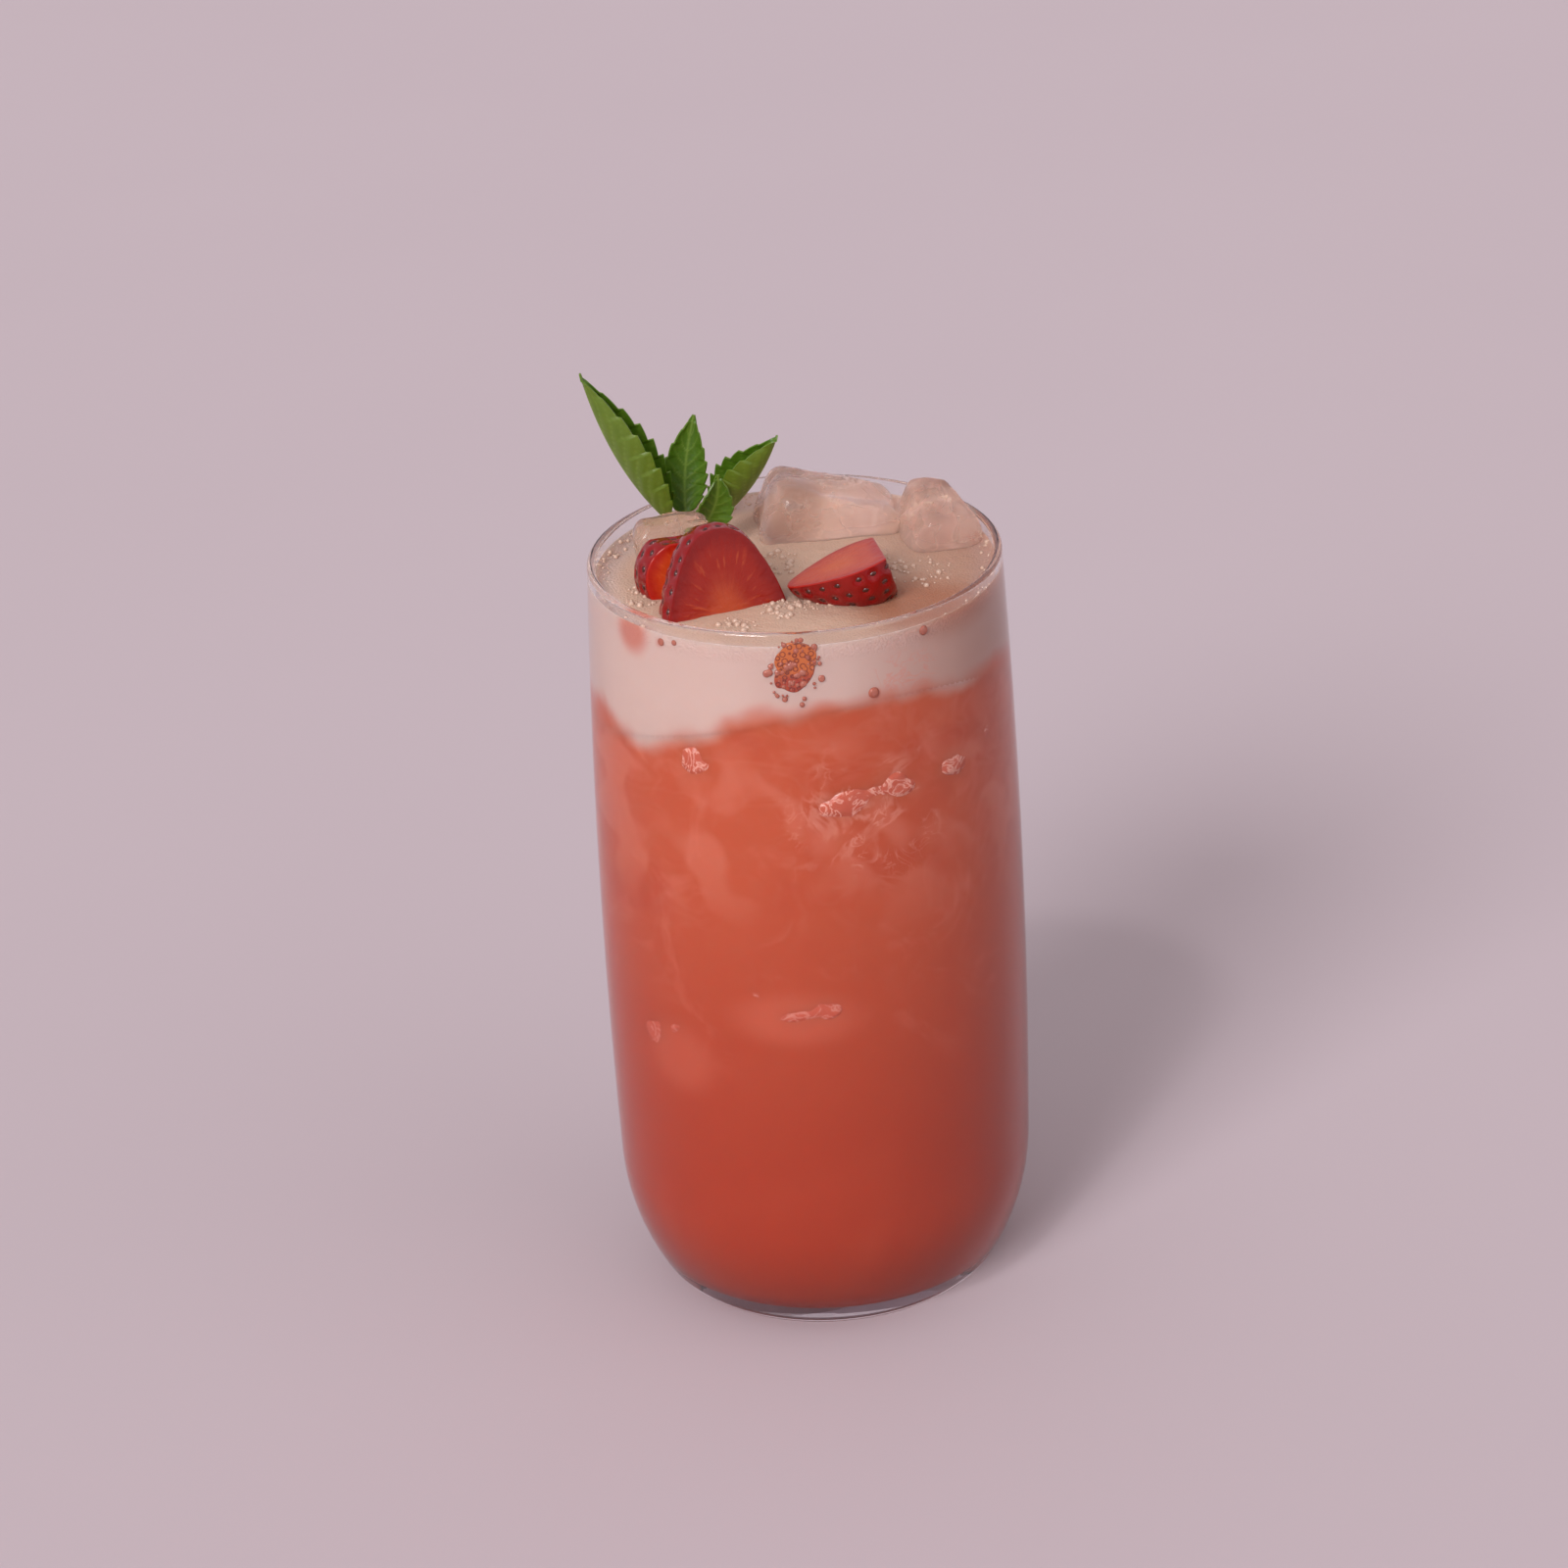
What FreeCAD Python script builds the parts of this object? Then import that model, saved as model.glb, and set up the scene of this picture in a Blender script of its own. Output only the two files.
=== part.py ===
"""A tall glass of pink lemonade: tumbler, drink, foam, ice, strawberry pieces and a sprig of mint.

Millimetres, +Z up. The origin is on the axis of the glass, in the plane that its foot rests on.
The front of the drink, where the cut strawberries show, faces -Y.
"""
import FreeCAD, Part

import math
import os

import Sketcher

Vector = FreeCAD.Vector
Rotation = FreeCAD.Rotation

SIZES = {
    # The tumbler: a tall side with a faint belly over a rounded heel and a thick foot.
    "glass_height": 140,
    "rim_radius": 35.9,
    "belly_swell": 2.2,
    "belly_height": 60,
    "foot_radius": 26,
    "heel_height": 24,
    "heel_bend": 7,
    "wall_thickness": 1.4,
    "foot_thickness": 5.5,
    "inner_foot_inset": 1.5,
    "inner_heel_bend": 8,
    # The drink and the foam on it, which clings to the wall in a low ring.
    "foam_headroom": 4.4,
    "cling_radius": 3.2,
    "cling_reach": 2.9,
    "foam_depth": 19,
    "foam_tilt_right": 1.75,
    "foam_tilt_back": -6.7,
    "foam_saddle": -1.3,
    "foam_twist": -2,
    # Room that loose pieces keep from the wall.
    "piece_clearance": 0.5,
    # Ice blocks: length, width, height, place and how far each has melted.
    "ice_crown": 0.7,
    "ice_edge": 2.6,
    "ice_corner": 3.6,
    "large_ice_length": 24,
    "large_ice_width": 18,
    "large_ice_height": 26,
    "large_ice_wall_gap": 11.1,
    "large_ice_azimuth": 79,
    "large_ice_rise": -6,
    "right_ice_length": 13,
    "right_ice_width": 16,
    "right_ice_height": 22,
    "right_ice_wall_gap": 5.7,
    "right_ice_azimuth": 32.5,
    "right_ice_rise": -3.9,
    "left_ice_length": 14,
    "left_ice_width": 8,
    "left_ice_height": 22,
    "left_ice_wall_gap": 12.3,
    "left_ice_azimuth": 159,
    "left_ice_rise": -2.9,
    # Strawberries: a slice, a wedge and a half.
    "berry_shoulder": 8,
    "middle_berry_radius": 11.8,
    "middle_berry_length": 28,
    "middle_berry_tip": 7.5,
    "middle_berry_thickness": 5,
    "middle_berry_wall_gap": 15.2,
    "middle_berry_azimuth": 232.5,
    "middle_berry_rise": -13.3,
    "left_berry_radius": 10.4,
    "left_berry_length": 21,
    "left_berry_tip": 4.2,
    "left_berry_thickness": 5,
    "left_berry_wall_gap": 16.6,
    "left_berry_azimuth": 180,
    "left_berry_rise": 10.2,
    "right_berry_radius": 9.6,
    "right_berry_length": 20.5,
    "right_berry_tip": 4,
    "right_berry_thickness": 9.6,
    "right_berry_wall_gap": 15.2,
    "right_berry_azimuth": 338,
    "right_berry_rise": 8.3,
    # Mint: a stem beside the wall and the thickness of its leaves.
    "mint_wall_gap": 8.8,
    "mint_azimuth": 135.6,
    "mint_rise": 1.1,
    "stem_radius": 1.1,
    "stem_length": 14,
    "leaf_thickness": 0.5,
}

FOAM_LEVEL = "(sizes.glass_height - sizes.foam_headroom)"
MOUTH_RADIUS = "(sizes.rim_radius - sizes.wall_thickness)"
BELLY_RADIUS = "(sizes.rim_radius + sizes.belly_swell)"
SIDE_RADIUS = (
    "((sizes.belly_swell ^ 2 + (sizes.glass_height - sizes.belly_height) ^ 2) / (2 * sizes.belly_swell))"
)
ROOT_POINT = (-1, 1)
H_AXIS = -1
V_AXIS = -2
START, END, CENTRE = 1, 2, 3

doc = FreeCAD.newDocument("glass_of_lemonade")
sheet = doc.addObject("Spreadsheet::Sheet", "sizes")
for row, (alias, value) in enumerate(SIZES.items(), start=1):
    sheet.set(f"A{row}", alias.replace("_", " "))
    sheet.set(f"B{row}", str(value))
    sheet.setAlias(f"B{row}", alias)
doc.recompute()


def size(alias):
    """The number that the sheet holds under an alias."""
    return float(sheet.get(alias))


def foam_level():
    """The height of the foam's flat top."""
    return size("glass_height") - size("foam_headroom")


def belly_radius():
    """The outer radius of the glass where it is widest."""
    return size("rim_radius") + size("belly_swell")


def mouth_radius():
    """The inner radius of the glass at its rim, the narrowest place above the heel."""
    return size("rim_radius") - size("wall_thickness")


# ---------------------------------------------------------------------------------------------
# Helpers for bodies and sketches


def new_body(name):
    body = doc.addObject("PartDesign::Body", name)
    body.Label = name
    return body


def new_sketch(body, name, role="XZ_Plane"):
    """A sketch on one of the body's own origin planes."""
    plane = next(feature for feature in body.Origin.OriginFeatures if feature.Role == role)
    sketch = body.newObject("Sketcher::SketchObject", name)
    sketch.AttachmentSupport = [(plane, "")]
    sketch.MapMode = "FlatFace"
    return sketch


def line(sketch, begin, end):
    """Adds a straight edge and returns its number."""
    return sketch.addGeometry(Part.LineSegment(Vector(*begin), Vector(*end)))


def arc(sketch, centre, radius, begin, end):
    """Adds an arc, anticlockwise from one direction to the other, in degrees."""
    circle = Part.Circle(Vector(*centre), Vector(0, 0, 1), radius)
    return sketch.addGeometry(Part.ArcOfCircle(circle, math.radians(begin), math.radians(end)))


def rule(sketch, kind, *numbers):
    """A constraint without a size, such as Tangent or Horizontal."""
    return sketch.addConstraint(Sketcher.Constraint(kind, *numbers))


def dimension(sketch, kind, numbers, value, expression):
    """A constraint with a size, bound to the sheet."""
    index = sketch.addConstraint(Sketcher.Constraint(kind, *numbers, value))
    sketch.setExpression(f"Constraints[{index}]", expression)
    return index


def revolve(body, sketch, name, kind="PartDesign::Revolution"):
    """Turns a profile once round the sketch's vertical axis."""
    feature = body.newObject(kind, name)
    feature.Profile = (sketch, [""])
    feature.ReferenceAxis = (sketch, ["V_Axis"])
    feature.Angle = 360
    sketch.Visibility = False
    return feature


def direction(begin, end):
    """The direction from one point of a sketch to another, in degrees."""
    return math.degrees(math.atan2(end[1] - begin[1], end[0] - begin[0]))


def on_circle(centre, radius, degrees):
    """The point of a circle in a direction."""
    turn = math.radians(degrees)
    return (centre[0] + radius * math.cos(turn), centre[1] + radius * math.sin(turn))


# ---------------------------------------------------------------------------------------------
# The tumbler


def side_circle():
    """Centre and radius of the outer side, an arc upright at the belly and through the rim."""
    inward = size("belly_swell")
    upward = size("glass_height") - size("belly_height")
    radius = (inward ** 2 + upward ** 2) / (2 * inward)
    return (belly_radius() - radius, size("belly_height")), radius


def tumbler_profile(body, name, inset, floor, foot_radius, heel_bend, heel_height):
    """Half the outline of the glass, or of its inside, from the middle of the foot to the rim.

    The heel is two arcs, a tight one at the foot and a wide one that runs into the side.
    Inset is how far the side lies inside the outer one. Sizes are expressions on the sheet.
    """
    sketch = new_sketch(body, name)
    value = {
        key: sketch.evalExpression(text)
        for key, text in {
            "inset": inset, "floor": floor, "foot": foot_radius, "bend": heel_bend, "heel": heel_height
        }.items()
    }
    value = {key: float(number) for key, number in value.items()}
    centre, outer_radius = side_circle()
    side_radius = outer_radius - value["inset"]
    top = size("glass_height")

    heel_turn = math.degrees(math.asin((value["heel"] - centre[1]) / side_radius))
    rim_turn = math.degrees(math.asin((top - centre[1]) / side_radius))
    heel_end = on_circle(centre, side_radius, heel_turn)
    rim = on_circle(centre, side_radius, rim_turn)

    bend_centre = (value["foot"], value["floor"] + value["bend"])
    gap = (heel_end[0] - bend_centre[0], heel_end[1] - bend_centre[1])
    along = gap[0] * math.cos(math.radians(heel_turn)) + gap[1] * math.sin(math.radians(heel_turn))
    heel_radius = (gap[0] ** 2 + gap[1] ** 2 - value["bend"] ** 2) / (2 * (along - value["bend"]))
    heel_centre = on_circle(heel_end, -heel_radius, heel_turn)
    bend_turn = direction(heel_centre, bend_centre)

    foot = line(sketch, (0, value["floor"], 0), (value["foot"], value["floor"], 0))
    bend = arc(sketch, bend_centre, value["bend"], -90, bend_turn)
    heel = arc(sketch, heel_centre, heel_radius, bend_turn, heel_turn)
    side = arc(sketch, centre, side_radius, heel_turn, rim_turn)
    lid = line(sketch, (rim[0], top, 0), (0, top, 0))
    axis = line(sketch, (0, top, 0), (0, value["floor"], 0))

    rule(sketch, "Horizontal", foot)
    rule(sketch, "Horizontal", lid)
    rule(sketch, "Tangent", foot, END, bend, START)
    rule(sketch, "Tangent", bend, END, heel, START)
    rule(sketch, "Tangent", heel, END, side, START)
    rule(sketch, "Coincident", side, END, lid, START)
    rule(sketch, "Coincident", lid, END, axis, START)
    rule(sketch, "Coincident", axis, END, foot, START)
    rule(sketch, "PointOnObject", axis, START, V_AXIS)
    rule(sketch, "PointOnObject", axis, END, V_AXIS)
    if value["floor"] == 0:
        rule(sketch, "PointOnObject", foot, START, H_AXIS)
    else:
        dimension(sketch, "DistanceY", (*ROOT_POINT, foot, START), value["floor"], floor)
    dimension(sketch, "DistanceX", (*ROOT_POINT, foot, END), value["foot"], foot_radius)
    dimension(sketch, "Radius", (bend,), value["bend"], heel_bend)
    dimension(sketch, "DistanceY", (*ROOT_POINT, side, START), value["heel"], heel_height)
    dimension(sketch, "DistanceY", (*ROOT_POINT, side, CENTRE), centre[1], "sizes.belly_height")
    dimension(sketch, "DistanceX", (side, CENTRE, *ROOT_POINT), -centre[0],
              f"{SIDE_RADIUS} - {BELLY_RADIUS}")
    dimension(sketch, "Radius", (side,), side_radius, f"{SIDE_RADIUS} - {inset}")
    dimension(sketch, "DistanceY", (*ROOT_POINT, lid, START), top, "sizes.glass_height")
    return sketch


def outer_profile(body):
    return tumbler_profile(body, "outside", "0", "0", "sizes.foot_radius", "sizes.heel_bend",
                           "sizes.heel_height")


def inner_profile(body):
    return tumbler_profile(body, "inside", "sizes.wall_thickness", "sizes.foot_thickness",
                           "(sizes.foot_radius - sizes.inner_foot_inset)", "sizes.inner_heel_bend",
                           "sizes.heel_height")


def make_glass():
    """The tumbler, turned from its outline, hollowed, and fire-polished round at the rim."""
    body = new_body("glass")
    revolve(body, outer_profile(body), "blank")
    hollow = revolve(body, inner_profile(body), "hollow", "PartDesign::Groove")
    doc.recompute()
    top = size("glass_height")
    edges = [
        f"Edge{number}"
        for number, edge in enumerate(hollow.Shape.Edges, start=1)
        if edge.BoundBox.ZMin > top - 0.001 and edge.Closed
    ]
    polish = body.newObject("PartDesign::Fillet", "polished_rim")
    polish.Base = (hollow, edges)
    polish.setExpression("Radius", "0.47 * sizes.wall_thickness")
    return body


def make_inside():
    """The room inside the glass, up to its rim, which the drink and the foam fill in part."""
    body = new_body("inside_of_glass")
    revolve(body, inner_profile(body), "room")
    return body


def make_mouth():
    """What stays clear of the wall: a cylinder that loose pieces are kept inside."""
    mouth = doc.addObject("Part::Cylinder", "mouth")
    mouth.setExpression("Radius", f"{MOUTH_RADIUS} - sizes.piece_clearance")
    mouth.setExpression("Height", "2 * sizes.glass_height")
    return mouth


# ---------------------------------------------------------------------------------------------
# Placing and trimming


def standing_at(gap_alias, azimuth_alias, rise_alias):
    """Expressions for a place: so far in from the wall, in a direction, above the foam."""
    reach = f"({MOUTH_RADIUS} - sizes.{gap_alias})"
    return (
        f"{reach} * cos(sizes.{azimuth_alias} * 1 deg)",
        f"{reach} * sin(sizes.{azimuth_alias} * 1 deg)",
        f"{FOAM_LEVEL} + sizes.{rise_alias}",
    )


def place(piece, prefix, rotation):
    """Sets a piece at its place in the glass, turned as it came to lie there."""
    piece.Placement = FreeCAD.Placement(Vector(), rotation)
    texts = standing_at(f"{prefix}_wall_gap", f"{prefix}_azimuth", f"{prefix}_rise")
    for letter, text in zip("xyz", texts):
        piece.setExpression(f"Placement.Base.{letter}", text)


def lying(tip, face):
    """The turn that brings +Z to where the tip points and +Y to where the cut face looks."""
    upward = Vector(*tip).normalize()
    outward = Vector(*face)
    outward = (outward - upward * outward.dot(upward)).normalize()
    return Rotation(outward.cross(upward), outward, upward, "ZYX")


def boolean(kind, name, base, tool):
    result = doc.addObject(f"Part::{kind}", name)
    result.Base = base
    result.Tool = tool
    result.Label = name
    return result


def cut_round(name, piece, neighbours):
    """The piece less everything that its neighbours take up."""
    for number, neighbour in enumerate(neighbours, start=1):
        last = number == len(neighbours)
        piece = boolean("Cut", name if last else f"{name}_cut_{number}", piece, neighbour)
    return piece


def keep_clear(name, piece, mouth, neighbours):
    """The piece inside the mouth, melted or pressed away where a neighbour touches it."""
    if not neighbours:
        return boolean("Common", name, piece, mouth)
    return cut_round(name, boolean("Common", f"{name}_in_mouth", piece, mouth), neighbours)


# ---------------------------------------------------------------------------------------------
# Ice


def make_ice(prefix, rotation):
    """A melted block: sides that bulge a little, wide round corners and softer edges."""
    body = new_body(f"{prefix}_block")
    sketch = new_sketch(body, f"{prefix}_plan", "XY_Plane")
    half_length = size(f"{prefix}_length") / 2
    half_width = size(f"{prefix}_width") / 2
    crown = size("ice_crown")
    sides = []
    for turn, half, reach in ((-90, half_length, half_width), (0, half_width, half_length),
                              (90, half_length, half_width), (180, half_width, half_length)):
        radius = (half ** 2 + crown ** 2) / (2 * crown)
        spread = math.degrees(math.asin(half / radius))
        centre = on_circle((0, 0), reach + crown - radius, turn)
        sides.append(arc(sketch, centre, radius, turn - spread, turn + spread))
    front, right, back, left = sides
    for side, following in zip(sides, sides[1:] + sides[:1]):
        rule(sketch, "Coincident", side, END, following, START)
    rule(sketch, "Symmetric", front, START, back, START, *ROOT_POINT)
    rule(sketch, "Symmetric", right, START, left, START, *ROOT_POINT)
    rule(sketch, "Horizontal", front, START, front, END)
    rule(sketch, "Vertical", right, START, right, END)
    dimension(sketch, "DistanceX", (front, START, front, END), 2 * half_length, f"sizes.{prefix}_length")
    dimension(sketch, "DistanceY", (right, START, right, END), 2 * half_width, f"sizes.{prefix}_width")
    for side, alias, half in ((front, "length", half_length), (right, "width", half_width),
                              (back, "length", half_length), (left, "width", half_width)):
        radius = (half ** 2 + crown ** 2) / (2 * crown)
        text = f"((sizes.{prefix}_{alias} / 2) ^ 2 + sizes.ice_crown ^ 2) / (2 * sizes.ice_crown)"
        dimension(sketch, "Radius", (side,), radius, text)

    pad = body.newObject("PartDesign::Pad", f"{prefix}_pad")
    pad.Profile = (sketch, [""])
    pad.Midplane = True
    pad.setExpression("Length", f"sizes.{prefix}_height")
    sketch.Visibility = False
    doc.recompute()
    half_height = size(f"{prefix}_height") / 2
    upright = [
        f"Edge{number}"
        for number, edge in enumerate(pad.Shape.Edges, start=1)
        if edge.BoundBox.ZLength > half_height
    ]
    corners = body.newObject("PartDesign::Fillet", f"{prefix}_corners")
    corners.Base = (pad, upright)
    corners.setExpression("Radius", "sizes.ice_corner")
    doc.recompute()
    level = [
        f"Edge{number}"
        for number, edge in enumerate(corners.Shape.Edges, start=1)
        if edge.BoundBox.ZLength < 0.001
    ]
    edges = body.newObject("PartDesign::Fillet", f"{prefix}_edges")
    edges.Base = (corners, level)
    edges.setExpression("Radius", "sizes.ice_edge")
    place(body, prefix, rotation)
    return body


# ---------------------------------------------------------------------------------------------
# Strawberries


# The flank's radius as a share of the berry's length.
FLANK_SHARE = 1.35


def flank_circle(radius, length, tip):
    """The wide arc of a strawberry's flank, which touches its shoulder and its tip from outside."""
    shoulder = size("berry_shoulder")
    shoulder_centre = (radius - shoulder, shoulder)
    tip_centre = (0, length - tip)
    flank = FLANK_SHARE * length
    apart = math.dist(shoulder_centre, tip_centre)
    first, second = flank - shoulder, flank - tip
    along = (apart ** 2 + first ** 2 - second ** 2) / (2 * apart)
    across = math.sqrt(first ** 2 - along ** 2)
    step = ((tip_centre[0] - shoulder_centre[0]) / apart, (tip_centre[1] - shoulder_centre[1]) / apart)
    centre = (
        shoulder_centre[0] + along * step[0] - across * step[1],
        shoulder_centre[1] + along * step[1] + across * step[0],
    )
    return centre, flank, shoulder_centre, tip_centre


def make_berry(prefix, near, stem_cut, rotation):
    """A piece of a strawberry: a berry turned from shoulder, flank and tip, cut to a slab.

    The berry's stem is at its own origin and its tip is up +Z. The slab lies from near, on the
    side of +Y, back through the piece's thickness, and starts stem_cut above the stem.
    """
    radius, length = size(f"{prefix}_radius"), size(f"{prefix}_length")
    shoulder, tip = size("berry_shoulder"), size(f"{prefix}_tip")
    centre, flank_radius, shoulder_centre, tip_centre = flank_circle(radius, length, tip)
    shoulder_turn = direction(centre, shoulder_centre)
    tip_turn = direction(centre, tip_centre)

    body = new_body(f"{prefix}_whole")
    sketch = new_sketch(body, f"{prefix}_outline")
    stem = line(sketch, (0, 0, 0), (radius - shoulder, 0, 0))
    cheek = arc(sketch, shoulder_centre, shoulder, -90, shoulder_turn)
    flank = arc(sketch, centre, flank_radius, shoulder_turn, tip_turn)
    point = arc(sketch, tip_centre, tip, tip_turn, 90)
    axis = line(sketch, (0, length, 0), (0, 0, 0))
    rule(sketch, "Coincident", stem, START, *ROOT_POINT)
    rule(sketch, "Horizontal", stem)
    rule(sketch, "Tangent", stem, END, cheek, START)
    rule(sketch, "Tangent", cheek, END, flank, START)
    rule(sketch, "Tangent", flank, END, point, START)
    rule(sketch, "Coincident", point, END, axis, START)
    rule(sketch, "Coincident", axis, END, *ROOT_POINT)
    rule(sketch, "PointOnObject", axis, START, V_AXIS)
    rule(sketch, "PointOnObject", point, CENTRE, V_AXIS)
    dimension(sketch, "DistanceX", (*ROOT_POINT, stem, END), radius - shoulder,
              f"sizes.{prefix}_radius - sizes.berry_shoulder")
    dimension(sketch, "Radius", (cheek,), shoulder, "sizes.berry_shoulder")
    dimension(sketch, "Radius", (flank,), flank_radius, f"{FLANK_SHARE} * sizes.{prefix}_length")
    dimension(sketch, "Radius", (point,), tip, f"sizes.{prefix}_tip")
    dimension(sketch, "DistanceY", (*ROOT_POINT, axis, START), length, f"sizes.{prefix}_length")
    revolve(body, sketch, f"{prefix}_berry")

    slab = doc.addObject("Part::Box", f"{prefix}_slab")
    slab.setExpression("Length", f"4 * sizes.{prefix}_radius")
    slab.setExpression("Width", f"sizes.{prefix}_thickness")
    slab.setExpression("Height", f"2 * sizes.{prefix}_length")
    slab.setExpression("Placement.Base.x", f"-2 * sizes.{prefix}_radius")
    slab.setExpression("Placement.Base.y", f"{near} - sizes.{prefix}_thickness")
    slab.Placement.Base.z = stem_cut
    piece = boolean("Common", f"{prefix}_cut", body, slab)
    place(piece, prefix, rotation)
    return piece


# ---------------------------------------------------------------------------------------------
# Mint


LEAF_TEETH = 8
NOTCH_WIDTH = 0.88
PETIOLE_WIDTH = 0.5
TIP_WIDTH = 0.25
BLADE_CURL = 0.10
# A narrow fold keeps its two halves this many thicknesses apart.
FOLD_ROOM = 1.4
# The share of the stem that is below the leaves.
STEM_IN_FOAM = 0.8


def leaf_point(base, control, tip, along):
    """A point of the midrib, which bends once between its base and its tip."""
    rest = 1 - along
    return base * (rest * rest) + control * (2 * rest * along) + tip * (along * along)


def leaf_section(base, control, tip, fold_towards, half_fold, width, petiole, along, tooth):
    """Five points across the leaf: margin, blade, midrib, blade, margin."""
    middle = leaf_point(base, control, tip, along)
    ahead = leaf_point(base, control, tip, along + 0.01) - leaf_point(base, control, tip, along - 0.01)
    ahead.normalize()
    inward = fold_towards - ahead * fold_towards.dot(ahead)
    inward.normalize()
    sideways = ahead.cross(inward)
    open_share = max(0, (along - petiole) / (1 - petiole))
    blade_width = width * math.sin(math.pi * open_share ** 0.8) ** 0.7 * tooth
    half_width = blade_width + PETIOLE_WIDTH * (1 - along) + TIP_WIDTH * along
    flattest = math.asin(min(1, FOLD_ROOM * size("leaf_thickness") / half_width))
    turn = max(math.radians(half_fold), flattest)
    points = []
    for side in (-1, 1):
        blade = inward * math.cos(turn) + sideways * (side * math.sin(turn))
        curl = ahead.cross(blade) * (BLADE_CURL * side * half_width)
        margin = middle + blade * half_width
        points.append((margin, middle + blade * (0.5 * half_width) + curl))
    return [points[0][0], points[0][1], middle, points[1][1], points[1][0]]


def make_leaf(name, stem_top, base, control, tip, fold_towards, half_fold, width, petiole):
    """A toothed leaf, folded along its midrib, as a thin faceted solid."""
    base, control, tip = (stem_top + Vector(*point) for point in (base, control, tip))
    sections = []
    for step in range(2 * LEAF_TEETH + 1):
        along = 0.02 + 0.98 * step / (2 * LEAF_TEETH)
        toothed = 0.12 < along < 0.95
        tooth = NOTCH_WIDTH if toothed and step % 2 else 1.0
        sections.append(leaf_section(base, control, tip, Vector(*fold_towards), half_fold, width,
                                     petiole, along, tooth))
    half = size("leaf_thickness") / 2
    upper, lower = [], []
    for number, section in enumerate(sections):
        before = sections[max(number - 1, 0)]
        after = sections[min(number + 1, len(sections) - 1)]
        top_row, bottom_row = [], []
        for column, point in enumerate(section):
            left = section[max(column - 1, 0)]
            right = section[min(column + 1, len(section) - 1)]
            normal = (after[column] - before[column]).cross(right - left)
            normal.normalize()
            top_row.append(point + normal * half)
            bottom_row.append(point - normal * half)
        upper.append(top_row)
        lower.append(bottom_row)

    faces = []

    def quad(first, second, third, fourth):
        for corners in ((first, second, third), (first, third, fourth)):
            faces.append(Part.Face(Part.makePolygon([*corners, corners[0]])))

    columns = len(sections[0])
    for number in range(len(sections) - 1):
        for column in range(columns - 1):
            quad(upper[number][column], upper[number][column + 1],
                 upper[number + 1][column + 1], upper[number + 1][column])
            quad(lower[number][column], lower[number + 1][column],
                 lower[number + 1][column + 1], lower[number][column + 1])
        for column in (0, columns - 1):
            quad(upper[number][column], upper[number + 1][column],
                 lower[number + 1][column], lower[number][column])
    for number in (0, len(sections) - 1):
        for column in range(columns - 1):
            quad(upper[number][column], lower[number][column],
                 lower[number][column + 1], upper[number][column + 1])

    shell = Part.makeShell(faces)
    shell.sewShape()
    solid = Part.makeSolid(shell)
    if solid.Volume < 0:
        solid.reverse()
    leaf = doc.addObject("Part::Feature", name)
    leaf.Shape = solid
    leaf.Placement = FreeCAD.Placement()
    return leaf


def make_mint():
    """The sprig: leaves that spread from the top of a short upright stem."""
    reach = mouth_radius() - size("mint_wall_gap")
    turn = math.radians(size("mint_azimuth"))
    root = Vector(reach * math.cos(turn), reach * math.sin(turn), foam_level() + size("mint_rise"))
    stem = doc.addObject("Part::Cylinder", "mint_stem")
    stem.setExpression("Radius", "sizes.stem_radius")
    stem.setExpression("Height", "sizes.stem_length")
    texts = standing_at("mint_wall_gap", "mint_azimuth", "mint_rise")
    for letter, text in zip("xy", texts):
        stem.setExpression(f"Placement.Base.{letter}", text)
    stem.setExpression("Placement.Base.z", f"{texts[2]} - {STEM_IN_FOAM} * sizes.stem_length")

    leaves = [
        make_leaf("mint_leaf_tall", root, (-0.8, -0.2, 0), (-12.5, -1.3, 11), (-17, -2.5, 32),
                  fold_towards=(1, -0.1, 0), half_fold=20, width=7, petiole=0.14),
        make_leaf("mint_leaf_middle", root, (0, 0.8, 0.3), (-1.4, 4.5, 8.5), (2.1, 4, 20.8),
                  fold_towards=(0, -1, 0.2), half_fold=66, width=4.1, petiole=0.18),
        make_leaf("mint_leaf_right", root, (0.8, 0, 0), (11.9, -0.5, 5.2), (16.5, -1.5, 18.2),
                  fold_towards=(-1, -0.1, 0.1), half_fold=20, width=7, petiole=0.2),
        make_leaf("mint_leaf_low", root, (0.3, -0.8, 0), (5.8, -4.2, 4.5), (5.8, -4.5, 12.6),
                  fold_towards=(0.2, -1, 0.1), half_fold=62, width=3.4, petiole=0.2),
    ]
    sprig = doc.addObject("Part::MultiFuse", "mint_sprig")
    sprig.Label = "mint_sprig"
    sprig.Shapes = [stem, *leaves]
    return sprig, stem


# ---------------------------------------------------------------------------------------------
# Drink and foam


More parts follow.
